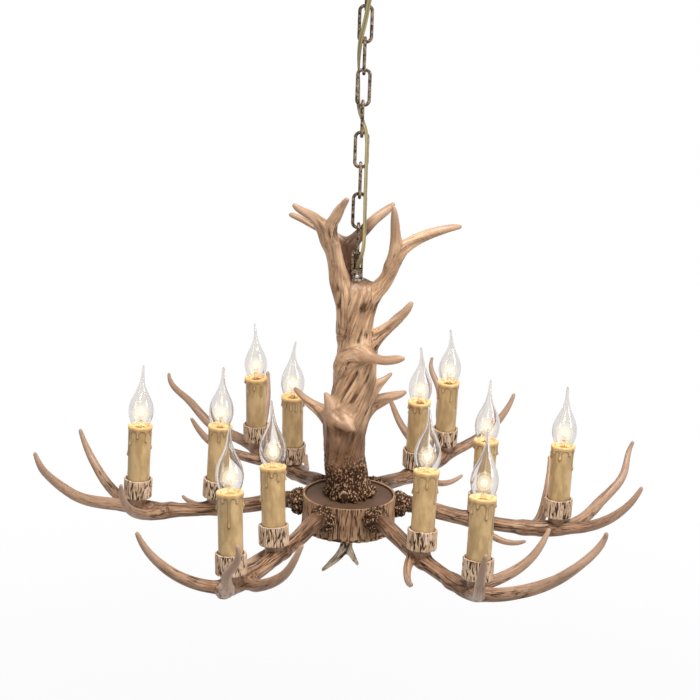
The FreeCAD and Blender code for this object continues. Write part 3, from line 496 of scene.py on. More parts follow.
# %% Finishes of the kept solids
KEPT = {
    "speckled_bronze": ["canopy", "canopy_collar", "ceiling_loop", "hanger_yoke"]
                       + ["chain_link_%d" % n for n in range(1, 10)],
    "plate_bronze": ["hub_top_plate", "hub_bottom_plate"],
    "bright_steel": ["ceiling_bracket", "loop_lock_nut", "yoke_screw", "star_washer", "stem_tube",
                     "arm_bolts"],
    "pale_plastic": ["terminal_block", "lamp_holders"],
    "black_plastic": ["cord_bushing"],
}
for name, nodes in KEPT.items():
    for node in nodes:
        solid = frame["nodes"][node]
        solid.data.materials.clear()
        solid.data.materials.append(FINISHES[name])
print("kept solids", sum(len(nodes) for nodes in KEPT.values()))

# %% [markdown]
# ## Antler skin
# A cast antler is not a smooth horn. Long grooves run from the root towards each tip, and they fade where
# the tips are polished. To carve them, the script needs to know where a point lies along and around its
# branch, so the centre lines of the branches are written down here, each point with its thickness, in
# millimetres from the root.

# %% Centre lines
ARM_BRANCHES = (
    ((-4, 0, 0, 24), (24, 0, 1, 23.5), (55, 0, -4.5, 22.5), (86, 0, -10, 21.5), (128, -1, -15, 21),
     (180, 1, -19, 20), (222, 1, -18, 20), (257, 9, -11, 18.5), (289, 35, 3, 17), (318, 59, 26, 14.5),
     (340, 80, 56, 11.5), (350, 98, 91, 6.6)),
    ((212, 2, -18, 18), (246, -6, -13, 17), (274, -24, 0, 15.5), (296, -42, 20, 13.5), (314, -56, 46, 10.5),
     (326, -63, 74, 6.4)),
    ((186, 0, -19, 17), (208, 20, -20, 16.5), (224, 56, -5, 14.5), (231, 82, 13, 12.5), (234, 98, 33, 10),
     (233, 110, 54, 6)),
    ((108, 2, -12, 17), (116, -15, -13, 14.5), (127, -27, -19, 12), (143, -38, -25, 10), (161, -47, -26, 8.4),
     (178, -56, -19, 5.4)),
    ((122.6, -4.5, -16.7, 15), (122, -4.5, -7.7, 21), (121.5, -4.5, 1.3, 26)),
    ((233.1, 4, -16.7, 15), (232.5, 4, -7.7, 21), (232, 4, 1.3, 26)),
)
ARM_POSTS = (4, 5)
COLUMN_BRANCHES = (
    ((1, 0, 3, 42), (0, 0, 15, 58), (-3.5, 0, 34, 57), (-7, 0, 58, 56), (-8.5, 0, 104, 56), (0, 0, 150, 56),
     (4.5, 0, 194, 53), (1, 0, 238, 47), (1, 0, 275, 50), (0, 0, 307, 38)),
    ((-8, -6, 236, 32), (-17, -10, 284, 27), (-26, -16, 322, 22.5), (-31, -21, 345, 20), (-39, -27, 368, 20),
     (-52, -31, 390, 15), (-68, -35, 402, 11), (-84, -38, 412, 6.5)),
    ((-36, -26, 366, 18), (-33, -34, 391, 16), (-25, -43, 410, 12), (-16, -52, 425, 6.5)),
    ((2, -2, 240, 32), (11, -3, 262, 27), (20.5, -5, 284, 23), (35.5, -8, 306, 21), (47, -9, 332, 19),
     (50, -12, 358, 15), (48, -20, 388, 11), (45, -28, 413, 4.6)),
    ((46, -9, 330, 16), (56, -9, 348, 17), (71, -8, 362, 16), (90, -5, 372, 14), (111, -2, 379, 12),
     (135, 3, 384, 6.5)),
    ((-2, 8, 240, 32), (-5, 14, 276, 27), (-8, 20, 304, 24), (-10, 26, 326, 22), (-10, 32, 345, 20),
     (2, 39, 362, 17), (17, 44, 377, 15), (33, 49, 390.5, 12.5), (46, 52, 402, 6.5)),
    ((-9, 25, 322, 19), (-18, 34, 347, 17), (-38, 39, 360, 15), (-58, 42, 370, 13), (-76, 45, 378, 10.5),
     (-92, 48, 384, 6.8)),
    ((4, -1, 200, 34), (22, -3, 220, 25), (38, -5, 237.5, 18.5), (55, -8, 255, 15.5), (68, -11, 270, 12),
     (74, -12, 280, 6.6)),
    ((-6, 3, 158, 36), (-8, -6, 180, 33), (-4, -14, 200, 32), (7, -21, 209, 25), (20, -29, 209.5, 19),
     (36, -37, 208, 14.5), (53, -41, 209, 12.5), (65, -44, 212, 6.6)),
    ((14, 4, 138, 26), (28, 8, 154, 18), (40, 12, 164, 11), (52, 16, 173, 5)),
    ((2, 3, 106, 34), (20, 12, 125, 26), (38, 22, 132, 19), (56, 33, 135, 14), (73, 47, 138, 6.2)),
    ((-14, 4, 88, 36), (-32, 9, 111, 24), (-49, 18, 120, 16), (-66, 29, 129, 11.5), (-80, 40, 139, 5.6)),
    ((-14, -11, 14, 32), (-17, -14, 50, 32), (-19.5, -16, 86, 31), (-22.5, -16, 112, 26), (-28, -15, 131, 18),
     (-33.5, -14.5, 143, 11), (-37, -15, 151, 5)),
    ((-20, -4, 116, 34), (-20, -12, 118, 33), (-16, -20, 117, 29), (-9, -28, 114, 22), (-2, -35.5, 110.5, 13),
     (3, -41, 108, 6)),
)
FINIAL_BRANCHES = (
    ((0, 0, 2, 19), (0, 0, -14, 15.5), (-2, -1, -30, 15), (-9, -4, -44, 12.5), (-21, -8, -56, 9.5),
     (-33, -12, -66, 5.6)),
    ((-1, 0, -26, 13), (3, -3, -38, 11), (9, -6, -48, 8.5), (15, -8, -57, 5.2)),
)
print("branches", len(ARM_BRANCHES), len(COLUMN_BRANCHES), len(FINIAL_BRANCHES))

# %% [markdown]
# A smooth curve is laid through the written points. For any point of a mesh, the nearest place on this
# curve tells how far along the branch it lies. The two values across the branch are carried along it
# without a twist, so that noise laid on them runs straight.

# %% Along a branch
def fine_line(stations):
    """A branch's centre line, smooth through its stations: rows of x, y, z and radius in metres."""
    knots = np.array(stations, float) / 1000
    knots[:, 3] /= 2
    ends = np.vstack([2 * knots[0] - knots[1], knots, 2 * knots[-1] - knots[-2]])
    t = np.linspace(0, 1, 10, endpoint=False)[:, None]
    rows = [0.5 * (2 * b + (c - a) * t + (2 * a - 5 * b + 4 * c - d) * t ** 2
                   + (3 * b - a - 3 * c + d) * t ** 3)
            for a, b, c, d in zip(ends, ends[1:], ends[2:], ends[3:])]
    return np.vstack(rows + [knots[-1:]])


def along_branch(points, line):
    """For each point: its gap to the branch's surface, its place across it (two values) and along it, and
    the share of the branch's length that lies before it."""
    centres, radii = line[:, :3], line[:, 3]
    far = (points ** 2).sum(1)[:, None] + (centres ** 2).sum(1)[None] - 2 * points @ centres.T
    nearest = far.argmin(1)
    runs = np.r_[0, np.cumsum(np.linalg.norm(np.diff(centres, axis=0), axis=1))]
    ways = np.gradient(centres, axis=0)
    ways /= np.linalg.norm(ways, axis=1)[:, None]
    side = np.cross(ways[0], (0.3, 0.9, 0.2))
    sides = []
    for way in ways:
        side = side - way * (side @ way)
        side /= np.linalg.norm(side)
        sides.append(side)
    sides = np.array(sides)
    offset = points - centres[nearest]
    across = (offset * sides[nearest]).sum(1)
    over = (offset * np.cross(ways, sides)[nearest]).sum(1)
    beyond = (offset * ways[nearest]).sum(1)
    gap = np.linalg.norm(offset, axis=1) - radii[nearest]
    return gap, across, over, runs[nearest] + beyond, runs[nearest] / runs[-1]


print("points on an arm's main line", len(fine_line(ARM_BRANCHES[0])))

# %% [markdown]
# The solid itself gives the form. A copy of its mesh is merged and wrapped in an even skin of small
# squares with the Remesh modifier, as a caster would coat a pattern in silicone. Its creases are then
# eased, and values that belong to its points can be blurred in the same way.

# %% Even skin
def even_skin(node, square):
    """A closed mesh of even squares over a copy of a solid."""
    shape = bmesh.new()
    shape.from_mesh(frame["nodes"][node].data)
    bmesh.ops.remove_doubles(shape, verts=shape.verts, dist=1e-6)
    carrier = bpy.data.objects.new("skin", as_mesh(shape, "skin"))
    bpy.context.scene.collection.objects.link(carrier)
    skin = carrier.modifiers.new("skin", "REMESH")
    skin.mode, skin.voxel_size = "VOXEL", square
    eased = carrier.modifiers.new("eased", "SMOOTH")
    eased.factor, eased.iterations = 0.5, 3
    made = bpy.data.meshes.new_from_object(carrier.evaluated_get(bpy.context.evaluated_depsgraph_get()))
    bpy.data.objects.remove(carrier)
    made.materials.clear()
    return made


def ease(mesh, times):
    """Evens out a mesh a little, to round its creases."""
    shape = bmesh.new()
    shape.from_mesh(mesh)
    for _ in range(times):
        bmesh.ops.smooth_vert(shape, verts=shape.verts, factor=0.5,
                              use_axis_x=True, use_axis_y=True, use_axis_z=True)
    shape.to_mesh(mesh)
    shape.free()


def blurred(mesh, values, times):
    """Values at the points of a mesh, each mixed with its neighbours' again and again."""
    pairs = np.zeros(len(mesh.edges) * 2, np.int32)
    mesh.edges.foreach_get("vertices", pairs)
    a, b = pairs.reshape(-1, 2).T
    count = np.bincount(a, minlength=len(values)) + np.bincount(b, minlength=len(values))
    for _ in range(times):
        around = np.bincount(a, values[b], len(values)) + np.bincount(b, values[a], len(values))
        values = 0.5 * values + 0.5 * around / np.maximum(count, 1)
    return values


print("skin tools ready")

# %% [markdown]
# Where two branches part, a real antler has a web between them, like the skin between fingers. A point
# that lies near two branches is raised a little, and the crease between them is then eased.

# %% Webs at the forks
def raise_webs(mesh, world, placed, web):
    """Raises the points that lie near two branches, and gives each point's share of the web."""
    gaps = np.sort(np.stack([found[0] for found in placed], 1), axis=1)
    share = np.clip(1 - (gaps[:, 1] - np.maximum(gaps[:, 0], -0.002)) / web, 0, 1) ** 2
    move_points(mesh, world + normals_of(mesh) * (share * web / 4)[:, None])
    ease(mesh, 8)
    return share


print("web tool ready")

# %% [markdown]
# The grooves are pressed into this skin. Noise that is stretched along each branch crosses zero on long
# wandering lines, and these lines become the grooves. The root gets pearls, as a real burr does. What was
# pressed in is kept at the points for the finish to paint.

# %% Grooves
NEAR_BRANCH = 0.012      # how far from a branch its grooves reach
MIX_WIDTH = 0.0025       # how softly the grooves of two branches mix
ALONG_SHARE = 0.035      # how much slower the noise changes along a branch than across it
FOLD_SIZE, PATCH_SIZE, PEARL_SIZE = 0.013, 0.028, 0.0044


def carve(mesh, to_root, branches, rough_root, plain=(), web=0.010, depth=0.0008, wide=0.0046, twist=0.0,
          tips=((0.72, 0.98), (0.45, 0.95)), sparse=-0.6, knobs=(1, 1, 1), folds=0.0, stain=None):
    """Webs at the forks, grooves along every branch but the plain ones, pearls on the root, and the values
    that the finish paints by."""
    world, turn = points_of(mesh), np.array(to_root.inverted())
    local = world @ turn[:3, :3].T + turn[:3, 3]
    placed = [along_branch(local, fine_line(stations)) for stations in branches]
    web_share = raise_webs(mesh, world, placed, web)
    total = np.full(len(local), 1e-9)
    crack, swell, valley, worn = (np.zeros(len(local)) for _ in range(4))
    owner, fibre = np.full(len(local), 1.0), np.zeros((len(local), 3))
    for number, (gap, across, over, run, share) in enumerate(placed):
        near = np.flatnonzero(gap < NEAR_BRANCH)
        weight = np.exp(-np.clip(gap[near], -0.004, 1) / MIX_WIDTH)
        angle = twist * run[near]
        u = across[near] * np.cos(angle) - over[near] * np.sin(angle)
        v = across[near] * np.sin(angle) + over[near] * np.cos(angle)
        rows = np.stack([u, v, run[near] * ALONG_SHARE], 1)
        first, final = tips[min(number, 1)]
        tip = np.ones(len(near)) if number in plain else smooth_step(share[near], first, final)
        wear = 0.6 if number in plain else smooth_step(share[near], first - 0.4, max(final, 1.0))
        lines = noise_at(rows, 1 / wide, 7.3 * number) + 0.3 * noise_at(rows, 2.1 / wide, 3.1 * number)
        fold = noise_at(rows * (1, 1, 4.5), 1 / FOLD_SIZE, 31.0 + number)
        crack[near] += weight * (1 - smooth_step(np.abs(lines), 0.0, 0.17)) * (1 - 0.9 * tip)
        swell[near] += weight * noise_at(rows, 0.42 / wide, 11.0 + number) * (1 - 0.7 * tip)
        valley[near] += weight * (1 - smooth_step(np.abs(fold), 0.0, 0.32)) * (1 - 0.8 * tip)
        worn[near] += weight * wear
        total[near] += weight
        mine = gap[near] < owner[near]
        owner[near[mine]] = gap[near[mine]]
        fibre[near[mine]] = rows[mine] + 0.11 * number
    crack, swell, valley, worn = (each / total for each in (crack, swell, valley, worn))
    crack = blurred(mesh, crack * smooth_step(noise_at(local, 1 / PATCH_SIZE), sparse, sparse + 0.4), 2)
    root = rough_root(local)
    pearl = 1 - smooth_step(np.abs(noise_at(local * knobs, 1 / PEARL_SIZE)), 0.0, 0.42)
    move = (depth * (swell - crack * (1 - 0.5 * root)) - folds * (valley - 0.35) * (1 - root)
            + root * (0.0007 - 0.0019 * pearl))
    move_points(mesh, points_of(mesh) + normals_of(mesh) * move[:, None])
    keep(mesh, "pit", np.maximum(crack, root * pearl))
    # The web value marks the forks and the fold valleys, where the finish paints shade.
    keep(mesh, "web", np.maximum(web_share, valley * (folds > 0)))
    keep(mesh, "root", root)
    keep(mesh, "worn", worn)
    # The stain value carries real stain and, on the column, painted shade in the crown.
    keep(mesh, "stain", stain(local) if stain else 0 * root)
    keep(mesh, "fibre", fibre, "FLOAT_VECTOR")
    return mesh


print("carver ready")

# %% [markdown]
# The antler finish reads those values. Tan resin is the ground, fine streaks run along the branch, dark
# stain lies in the grooves and over the rough roots, and the tips are paler and smoother, as if hands had
# worn them. The forks, the fold valleys and the inside of the column's crown are painted darker as
# shade, and the pale specks on the burrs carry painted glints.

# %% Antler finish
def line_mask(noisy, width):
    """1 on the thin lines where a noise crosses its middle value."""
    return 1 - Wire.node("ShaderNodeMath", {"operation": "ABSOLUTE"}, {0: noisy - 0.5}).step(0.0, width)


def antler_finish(name, pale, tan, tip_colour, stain_share, crack_share, line_share, line_start):
    """Stained resin: two ground colours, the tips, and how much stain lies on it, in grooves and in lines."""
    begin(name)
    pit, root, web, worn, stain = (kept(each) for each in ("pit", "root", "web", "worn", "stain"))
    fibre = kept("fibre", "Vector")
    streak, hair, thread = grain(fibre, 300, 2, 0.5), grain(fibre, 400, 1), grain(fibre, 720, 1)
    blotch, cloud = grain(place(), 30, 3), grain(place(), 80, 3)
    sand = grain(stretched(place(), 1, 1, 0.7), 430, 2)
    ground = (streak * 0.6 + cloud * 0.4).step(0.34, 0.58).pick(tan, pale)
    ground = (worn * 0.85).pick(ground, tip_colour)
    ground = (blotch.step(0.50, 0.68) * stain_share * (1 - worn * 0.6)).pick(ground, (0.25, 0.115, 0.045))
    # Painted shade: the web value darkens the forks between branches and the valleys of the column's folds.
    ground = (web * 0.45 * (1 - worn * 0.5)).pick(ground, (0.150, 0.064, 0.025))
    # The stain value is real stain on the arms and above the column's foot, and painted shade in the column's
    # crown.
    ground = (stain * (0.5 + streak * 0.6)).step(0.05, 0.80).pick(ground, (0.115, 0.047, 0.018))
    bundle = cloud * 0.4 + grain(fibre, 150, 2) * 0.6
    hairline = line_mask(hair, 0.065) * bundle.step(line_start, line_start + 0.14)
    hairline = hairline + line_mask(thread, 0.08) * 0.35
    dark = pit.step(0.12, 0.75) * crack_share + hairline * (1 - worn * 0.65) * line_share
    ground = (dark * (1 - worn * 0.4)).step(0.0, 1.0).pick(ground, (0.040, 0.016, 0.006))
    # Pale specks on the burrs: lighter granules, with painted glints on them.
    burr_specks_and_glints = (sand - pit * 0.14).step(0.44, 0.60).pick((0.034, 0.013, 0.005), (0.52, 0.32, 0.185))
    ground = (root * 0.97).pick(ground, burr_specks_and_glints)
    relief = streak * (1 - worn) - hairline * (1 - worn) * 0.6 + root * sand * 1.6
    finish(ground, 0.42 + pit * 0.3, relief, 0.0006, Specular_IOR_Level=0.16,
           Coat_Weight=(1 - pit) * (1 - root) * 0.35, Coat_Roughness=0.36)


antler_finish("antler_tan", (0.45, 0.265, 0.155), (0.23, 0.109, 0.053), (0.42, 0.272, 0.187),
              stain_share=0.35, crack_share=0.5, line_share=1.0, line_start=0.34)
antler_finish("antler_pale", (0.76, 0.50, 0.31), (0.43, 0.24, 0.126), (0.42, 0.266, 0.172),
              stain_share=0.45, crack_share=0.6, line_share=0.6, line_start=0.43)
# The finial's cream is partly paler resin and partly painted light, for the bounce that brightens its
# downturned faces.
antler_finish("antler_cream_lit", (0.86, 0.70, 0.53), (0.72, 0.54, 0.38), (0.50, 0.36, 0.24),
              stain_share=0.2, crack_share=0.95, line_share=0.9, line_start=0.30)
print("antler finishes ready")

# %% [markdown]
# ## The arms
# All six arms come from one mould, so they share their grooves. Each is turned, drooped and rolled a
# little when it is bolted on, and those small turns are what makes the ring of candles look natural.

# %% Six antler arms
ARM_TURN = (3.7, -0.3, -1.1, -2.6, 0.5, 2.2)
ARM_ROLL = (-1.4, 3.3, -3.0, 0.8, 4.4, -4.0)
ARM_DROOP = (4.5, -0.8, 0.0, 1.3, -0.1, -0.2)
DRUM_R, ROOT_ABOVE_FLOOR = 0.065, 0.033
ARM_ROOT = Vector((DRUM_R, 0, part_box("hub_drum")[0].z + ROOT_ABOVE_FLOOR))


def turned(degrees, axis):
    """A turn by some degrees about an axis."""
    return Matrix.Rotation(math.radians(degrees), 4, axis)


def arm_rough(local):
    """1 at the burr against the drum, 0 from 30 mm outwards."""
    wander = noise_at(local, 90) * 0.008
    return 1 - smooth_step(local[:, 0] + wander, 0.010, 0.030)


def arm_stain(local):
    """Dark stain that runs out along the arm from the burr."""
    return 0.85 * (1 - smooth_step(local[:, 0] + noise_at(local, 60) * 0.02, 0.012, 0.090))


for number, (turn, roll, droop) in enumerate(zip(ARM_TURN, ARM_ROLL, ARM_DROOP)):
    node = "antler_arm_%d" % (number + 1)
    seat = Matrix.Translation(ARM_ROOT) @ turned(droop, "Y") @ turned(roll, "X")
    to_root = turned(60 * number + turn, "Z") @ seat
    mesh = carve(even_skin(node, 0.00125), to_root, ARM_BRANCHES, arm_rough, plain=ARM_POSTS, stain=arm_stain)
    piece("arm_skin_%d" % (number + 1), mesh, "antler_tan", "fixture", [node])
    print(node, len(mesh.polygons))

# %% [markdown]
# ## The column and the finial
# The column is a bundle of antlers that grew together. Its foot is rough and nearly black, its branches
# are paler than the arms, and the finial under the drum is a small fork of the same stuff.

# %% Column and finial
def column_rough(local):
    """1 at the foot, 0 from 80 mm upwards, with a wandering edge."""
    wander = noise_at(local, 45) * 0.02 + noise_at(local, 190) * 0.018
    return 1 - smooth_step(local[:, 2] + wander, 0.034, 0.080)


def column_stain_and_crown_shade(local):
    """Brown stain above the foot, and painted shade inside the crown, between the branches."""
    wander = noise_at(local, 45) * 0.03 + noise_at(local, 120) * 0.008
    # Painted shade: the inside of the crown, between the branches, is darkened here.
    crown_shade = smooth_step(local[:, 2] + wander * 0.4, 0.258, 0.298)
    crown_shade *= 1 - smooth_step(np.hypot(local[:, 0], local[:, 1] - 0.012), 0.020, 0.042)
    return np.maximum(0.9 * crown_shade, 0.85 * (1 - smooth_step(local[:, 2] + wander, 0.055, 0.165)))


def finial_rough(local):
    """1 at the burr under the drum, 0 from 22 mm downwards."""
    return smooth_step(local[:, 2] + noise_at(local, 200) * 0.006, -0.022, -0.008)


foot = Matrix.Translation((0, 0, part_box("antler_column")[0].z))
mesh = carve(even_skin("antler_column", 0.0014), foot, COLUMN_BRANCHES, column_rough, web=0.013,
             depth=0.0012, wide=0.0068, twist=-13.0, tips=((2.0, 3.0), (0.72, 1.0)), sparse=-0.22,
             knobs=(1, 1, 0.5), folds=0.0022, stain=column_stain_and_crown_shade)
piece("column_skin", mesh, "antler_pale", "fixture", ["antler_column"])
print("column", len(mesh.polygons))
neck = Matrix.Translation((0, 0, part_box("antler_finial")[1].z))
mesh = carve(even_skin("antler_finial", 0.0009), neck, FINIAL_BRANCHES, finial_rough, web=0.006,
             depth=0.0006, wide=0.0040, tips=((0.9, 1.2), (0.9, 1.2)))
piece("finial_skin", mesh, "antler_cream_lit", "fixture", ["antler_finial"])
print("finial", len(mesh.polygons))

# %% [markdown]
# ## Bark
# The hub's drum and the twelve cups are cast from bark: upright plates with deep cracks between them.
# Each is spun from an outline, and its outer wall is then pressed in where noise, stretched upwards,
# crosses zero.

# %% Bark finish and tool
def bark_finish(name, pale, tan):
    """Two clouded ground colours with dusty specks; dark in the cracks, and as painted shade on inner walls.
    """
    begin(name)
    pit = kept("pit")
    dust, cloud = grain(place(), 520, 4, 0.65), grain(place(), 75, 3)
    ground = cloud.step(0.38, 0.66).pick(pale, tan)
    ground = (dust.step(0.52, 0.68) * 0.5).pick(ground, (0.36, 0.215, 0.12))
    cracked = (pit + dust * 0.2).step(0.28, 0.95).pick(ground, (0.060, 0.030, 0.016))
    finish(cracked, 0.6 + pit * 0.2, dust, 0.0006, Specular_IOR_Level=0.12)


bark_finish("bark_cream", (0.68, 0.50, 0.36), (0.54, 0.37, 0.24))
# The drum's darker bark is partly its own tone and partly painted shade under the top plate.
bark_finish("bark_brown_shaded", (0.42, 0.26, 0.155), (0.29, 0.16, 0.086))


def bark(points, centre, wide, tall, seed, share):
    """How deep the cracks are at points on an upright wall, from 0 to 1, and how proud each plate stands."""
    rows = (points - centre) * (1 / wide, 1 / wide, 1 / tall)
    lines = noise_at(rows, 1.0, seed) + 0.35 * noise_at(rows, 2.4, seed + 5)
    return 1 - smooth_step(np.abs(lines), 0.0, share), noise_at(rows, 0.6, seed + 9)


print("bark tools ready")

# %% [markdown]
# The drum is a short length of trunk with a lip at both ends, inside which the plates lie. Its outline
# has many rows, so that the cracks find points to press in. Its lower hem is lumpy and ragged, as broken
# bark is.

# %% The drum
DRUM_LOW, DRUM_HIGH = (corner.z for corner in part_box("hub_drum"))
LIP_R, LIP_DEPTH = 0.0602, 0.006
PLATE_RISE, CRACK_DEPTH, HEM_RISE, LUMP_RISE, RAGGED_EDGE = 0.0004, 0.0010, 0.0007, 0.0013, 0.0007
rows = 40
wall = [(DRUM_R, DRUM_LOW + (DRUM_HIGH - DRUM_LOW) * i / rows) for i in range(rows + 1)]
lower = [(LIP_R, DRUM_LOW + LIP_DEPTH), (LIP_R, DRUM_LOW + 0.003), (LIP_R + 0.0006, DRUM_LOW + 0.0006),
         (LIP_R + 0.0026, DRUM_LOW)]
upper = [(LIP_R + 0.0026, DRUM_HIGH), (LIP_R + 0.0006, DRUM_HIGH - 0.0006), (LIP_R, DRUM_HIGH - 0.003),
         (LIP_R, DRUM_HIGH - LIP_DEPTH)]
drum_mesh = as_mesh(spun(lower + wall + upper, 620), "drum_bark")
at = points_of(drum_mesh)
crack, proud = bark(at, (0, 0, DRUM_LOW), 0.0025, 0.045, 2.0, 0.25)
outside = smooth_step(np.hypot(at[:, 0], at[:, 1]), DRUM_R - 0.003, DRUM_R - 0.0002)
hem = 1 - smooth_step(at[:, 2] - DRUM_LOW, 0.002, 0.008)
lumps = noise_at(at, 1 / 0.0045)
move = PLATE_RISE * proud - CRACK_DEPTH * crack * (1 - 0.6 * hem) + hem * (HEM_RISE + LUMP_RISE * lumps)
ways = normals_of(drum_mesh) * (1, 1, 0.4)
ragged = np.zeros((len(at), 3))
ragged[:, 2] = RAGGED_EDGE * noise_at(at, 1 / 0.006, 4) * (hem + (at[:, 2] > DRUM_HIGH - 0.002))
move_points(drum_mesh, at + (ways * move[:, None] + ragged) * outside[:, None])
# Painted shade: the inner wall of the lip gets full pit, so the finish paints it dark.
inside = 1 - smooth_step(np.hypot(at[:, 0], at[:, 1]), LIP_R + 0.0005, LIP_R + 0.0016)
broken = np.maximum(crack * (1 - 0.4 * hem), hem * (lumps < -0.10))
keep(drum_mesh, "pit", np.maximum(outside * broken, inside))
piece("drum_bark", drum_mesh, "bark_brown_shaded", "fixture", ["hub_drum"])
print("drum", len(drum_mesh.polygons))

# %% [markdown]
# ## Where the candles stand
# The turning axis of each bulb is the axis of its candle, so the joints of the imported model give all
# twelve places, at the middle of the candle's rim. The bent tip of each solid bulb tells which way its
# glass points.

# %% Candle places
CANDLES = {}
for row in ("inner", "outer"):
    for number in range(1, 7):
        name = "%s_%d" % (row, number)
        joint = JOINTS["bulb_%s_turn" % name]
        rim, up = Vector(joint["pos_m"]), Vector(joint["axis"]).normalized()
        glass = points_of(frame["nodes"]["bulb_glass_" + name].data)
        tip = Vector(glass[(glass @ np.array(up)).argmax()]) - rim
        bent = (tip - up * tip.dot(up)).normalized()
        CANDLES[name] = Matrix.Translation(rim) @ Matrix((bent, up.cross(bent), up)).transposed().to_4x4()
print("candles", len(CANDLES))

# %% [markdown]
# ## The cups
# A cup is a short bark collar that hides the candle's foot. One cup is spun, cracked with its own patch
# of noise, and put down at each place. All twelve are one piece, as the solid is.

# %% Twelve bark cups
CUP_R, CUP_INSIDE, CUP_LOW, CUP_TALL = 0.0197, 0.0163, -0.105, 0.027
CUP_HIGH = CUP_LOW + CUP_TALL
CUP_PLATE_RISE, CUP_CRACK_DEPTH, CUP_RIM_WAVE, CUP_RIM_NOTCH = 0.0006, 0.0016, 0.0011, 0.0009
rows = 26
outline = [(0.009, CUP_LOW), (0.013, CUP_LOW), (0.0165, CUP_LOW)]
outline += [(CUP_R - 0.0005, CUP_LOW + 0.0004)]
outline += [(CUP_R, CUP_LOW + 0.001 + (CUP_TALL - 0.0016) * i / rows) for i in range(rows + 1)]
outline += [(CUP_R - 0.0006, CUP_HIGH), (CUP_R - 0.0016, CUP_HIGH), (CUP_INSIDE, CUP_HIGH),
            (CUP_INSIDE, CUP_HIGH - 0.004), (CUP_INSIDE, CUP_HIGH - 0.012)]
cups, pits = bmesh.new(), []
for number, at_rim in enumerate(CANDLES.values()):
    mesh = as_mesh(spun(outline, 200), "cup")
    at = points_of(mesh)
    crack, proud = bark(at, (0, 0, CUP_LOW), 0.0023, 0.021, 3.7 * number, 0.29)
    outside = smooth_step(np.hypot(at[:, 0], at[:, 1]), CUP_R - 0.002, CUP_R - 0.0003)
    top = smooth_step(at[:, 2], CUP_HIGH - 0.004, CUP_HIGH - 0.001)
    move = outside * (CUP_PLATE_RISE * proud - CUP_CRACK_DEPTH * crack)
    at = at + normals_of(mesh) * move[:, None] * (1, 1, 0.3)
    at[:, 2] += top * (CUP_RIM_WAVE * noise_at(at, 1 / 0.006, number) - CUP_RIM_NOTCH * crack)
    move_points(mesh, at)
    mesh.transform(at_rim)
    cups.from_mesh(mesh)
    # Painted shade: most of the pit goes on each cup's inner wall, so the finish paints that recess dark.
    inside = np.hypot(at[:, 0], at[:, 1]) < CUP_INSIDE + 0.0004
    pits.append(np.maximum(crack * outside, 0.8 * inside))
    bpy.data.meshes.remove(mesh)
cup_piece = piece("bark_cups", cups, "bark_cream", "fixture", ["candle_cups"])
keep(cup_piece.data, "pit", np.concatenate(pits))
print("cups", len(cup_piece.data.polygons))

# %% [markdown]
# ## Wax
# The card sleeves are dipped in wax that ran down: a curtain hangs from the rim in arches, and a few
# drips run on below it and end in beads. The wax is thickest at the beads. Its height over the sleeve is
# worked out at every point of a fine spun tube, and the same sum places thin dark lines along its edge,
# painted shade where the wax steps down. The wax near the rim and on the top also glows orange: painted
# light from the bulb, not a light of its own.

# %% Wax finish
begin("wax")
edge, glow, layer = kept("edge"), kept("glow"), kept("layer")
cloud, film = grain(stretched(place(), 1, 1, 0.35), 95, 3), grain(place(), 420, 3)
ground = cloud.step(0.36, 0.66).pick((0.40, 0.26, 0.110), (0.56, 0.385, 0.185))
ground = (layer * 0.30).pick(ground, (0.53, 0.36, 0.17))
# Painted shade: dark lines along the lower edge of the wax and of its upper layer.
ground = (edge * 0.72).pick(ground, (0.15, 0.082, 0.030))
# Painted light: the wax near the rim emits orange, for the bulb's light falling on it.
lit = glow.pick((0, 0, 0), (1.0, 0.50, 0.14))
finish(ground, 0.38 + film * 0.16, film, 0.0002, Subsurface_Weight=0.15,
       Subsurface_Radius=(0.004, 0.002, 0.001), Subsurface_Scale=1.0, Coat_Weight=0.15, Coat_Roughness=0.25,
       Emission_Color=lit, Emission_Strength=1.0)
print("wax finish ready")

# %% [markdown]
# A tube with close rows where the wax hangs is the ground for it. For every point around and below the
# rim, the sum here says how far inside the edge of the curtain or of a drip it lies. Below zero it is
# bare sleeve.

# %% Wax curtain
SLEEVE_R, SLEEVE_LOW = 0.0155, -0.102
ARCH_TOP = 0.0058       # where the curtain ends, halfway between two drips
ARCH_DROP = 0.0065      # how much lower it hangs beside a drip
heights = [SLEEVE_LOW + 0.0035 * i for i in range(13)]
heights += list(np.linspace(heights[-1] + 0.0012, -0.0012, 70))
outline = [(SLEEVE_R - 0.0015, SLEEVE_LOW)] + [(SLEEVE_R, z) for z in heights]
outline += [(SLEEVE_R - 0.0004, -0.0004), (SLEEVE_R - 0.0013, 0.0), (SLEEVE_R - 0.0026, -0.0006),
            (SLEEVE_R - 0.004, -0.0016), (SLEEVE_R - 0.0056, -0.0026), (0.0082, -0.0034), (0.0079, -0.0042),
            (0.0079, -0.008)]


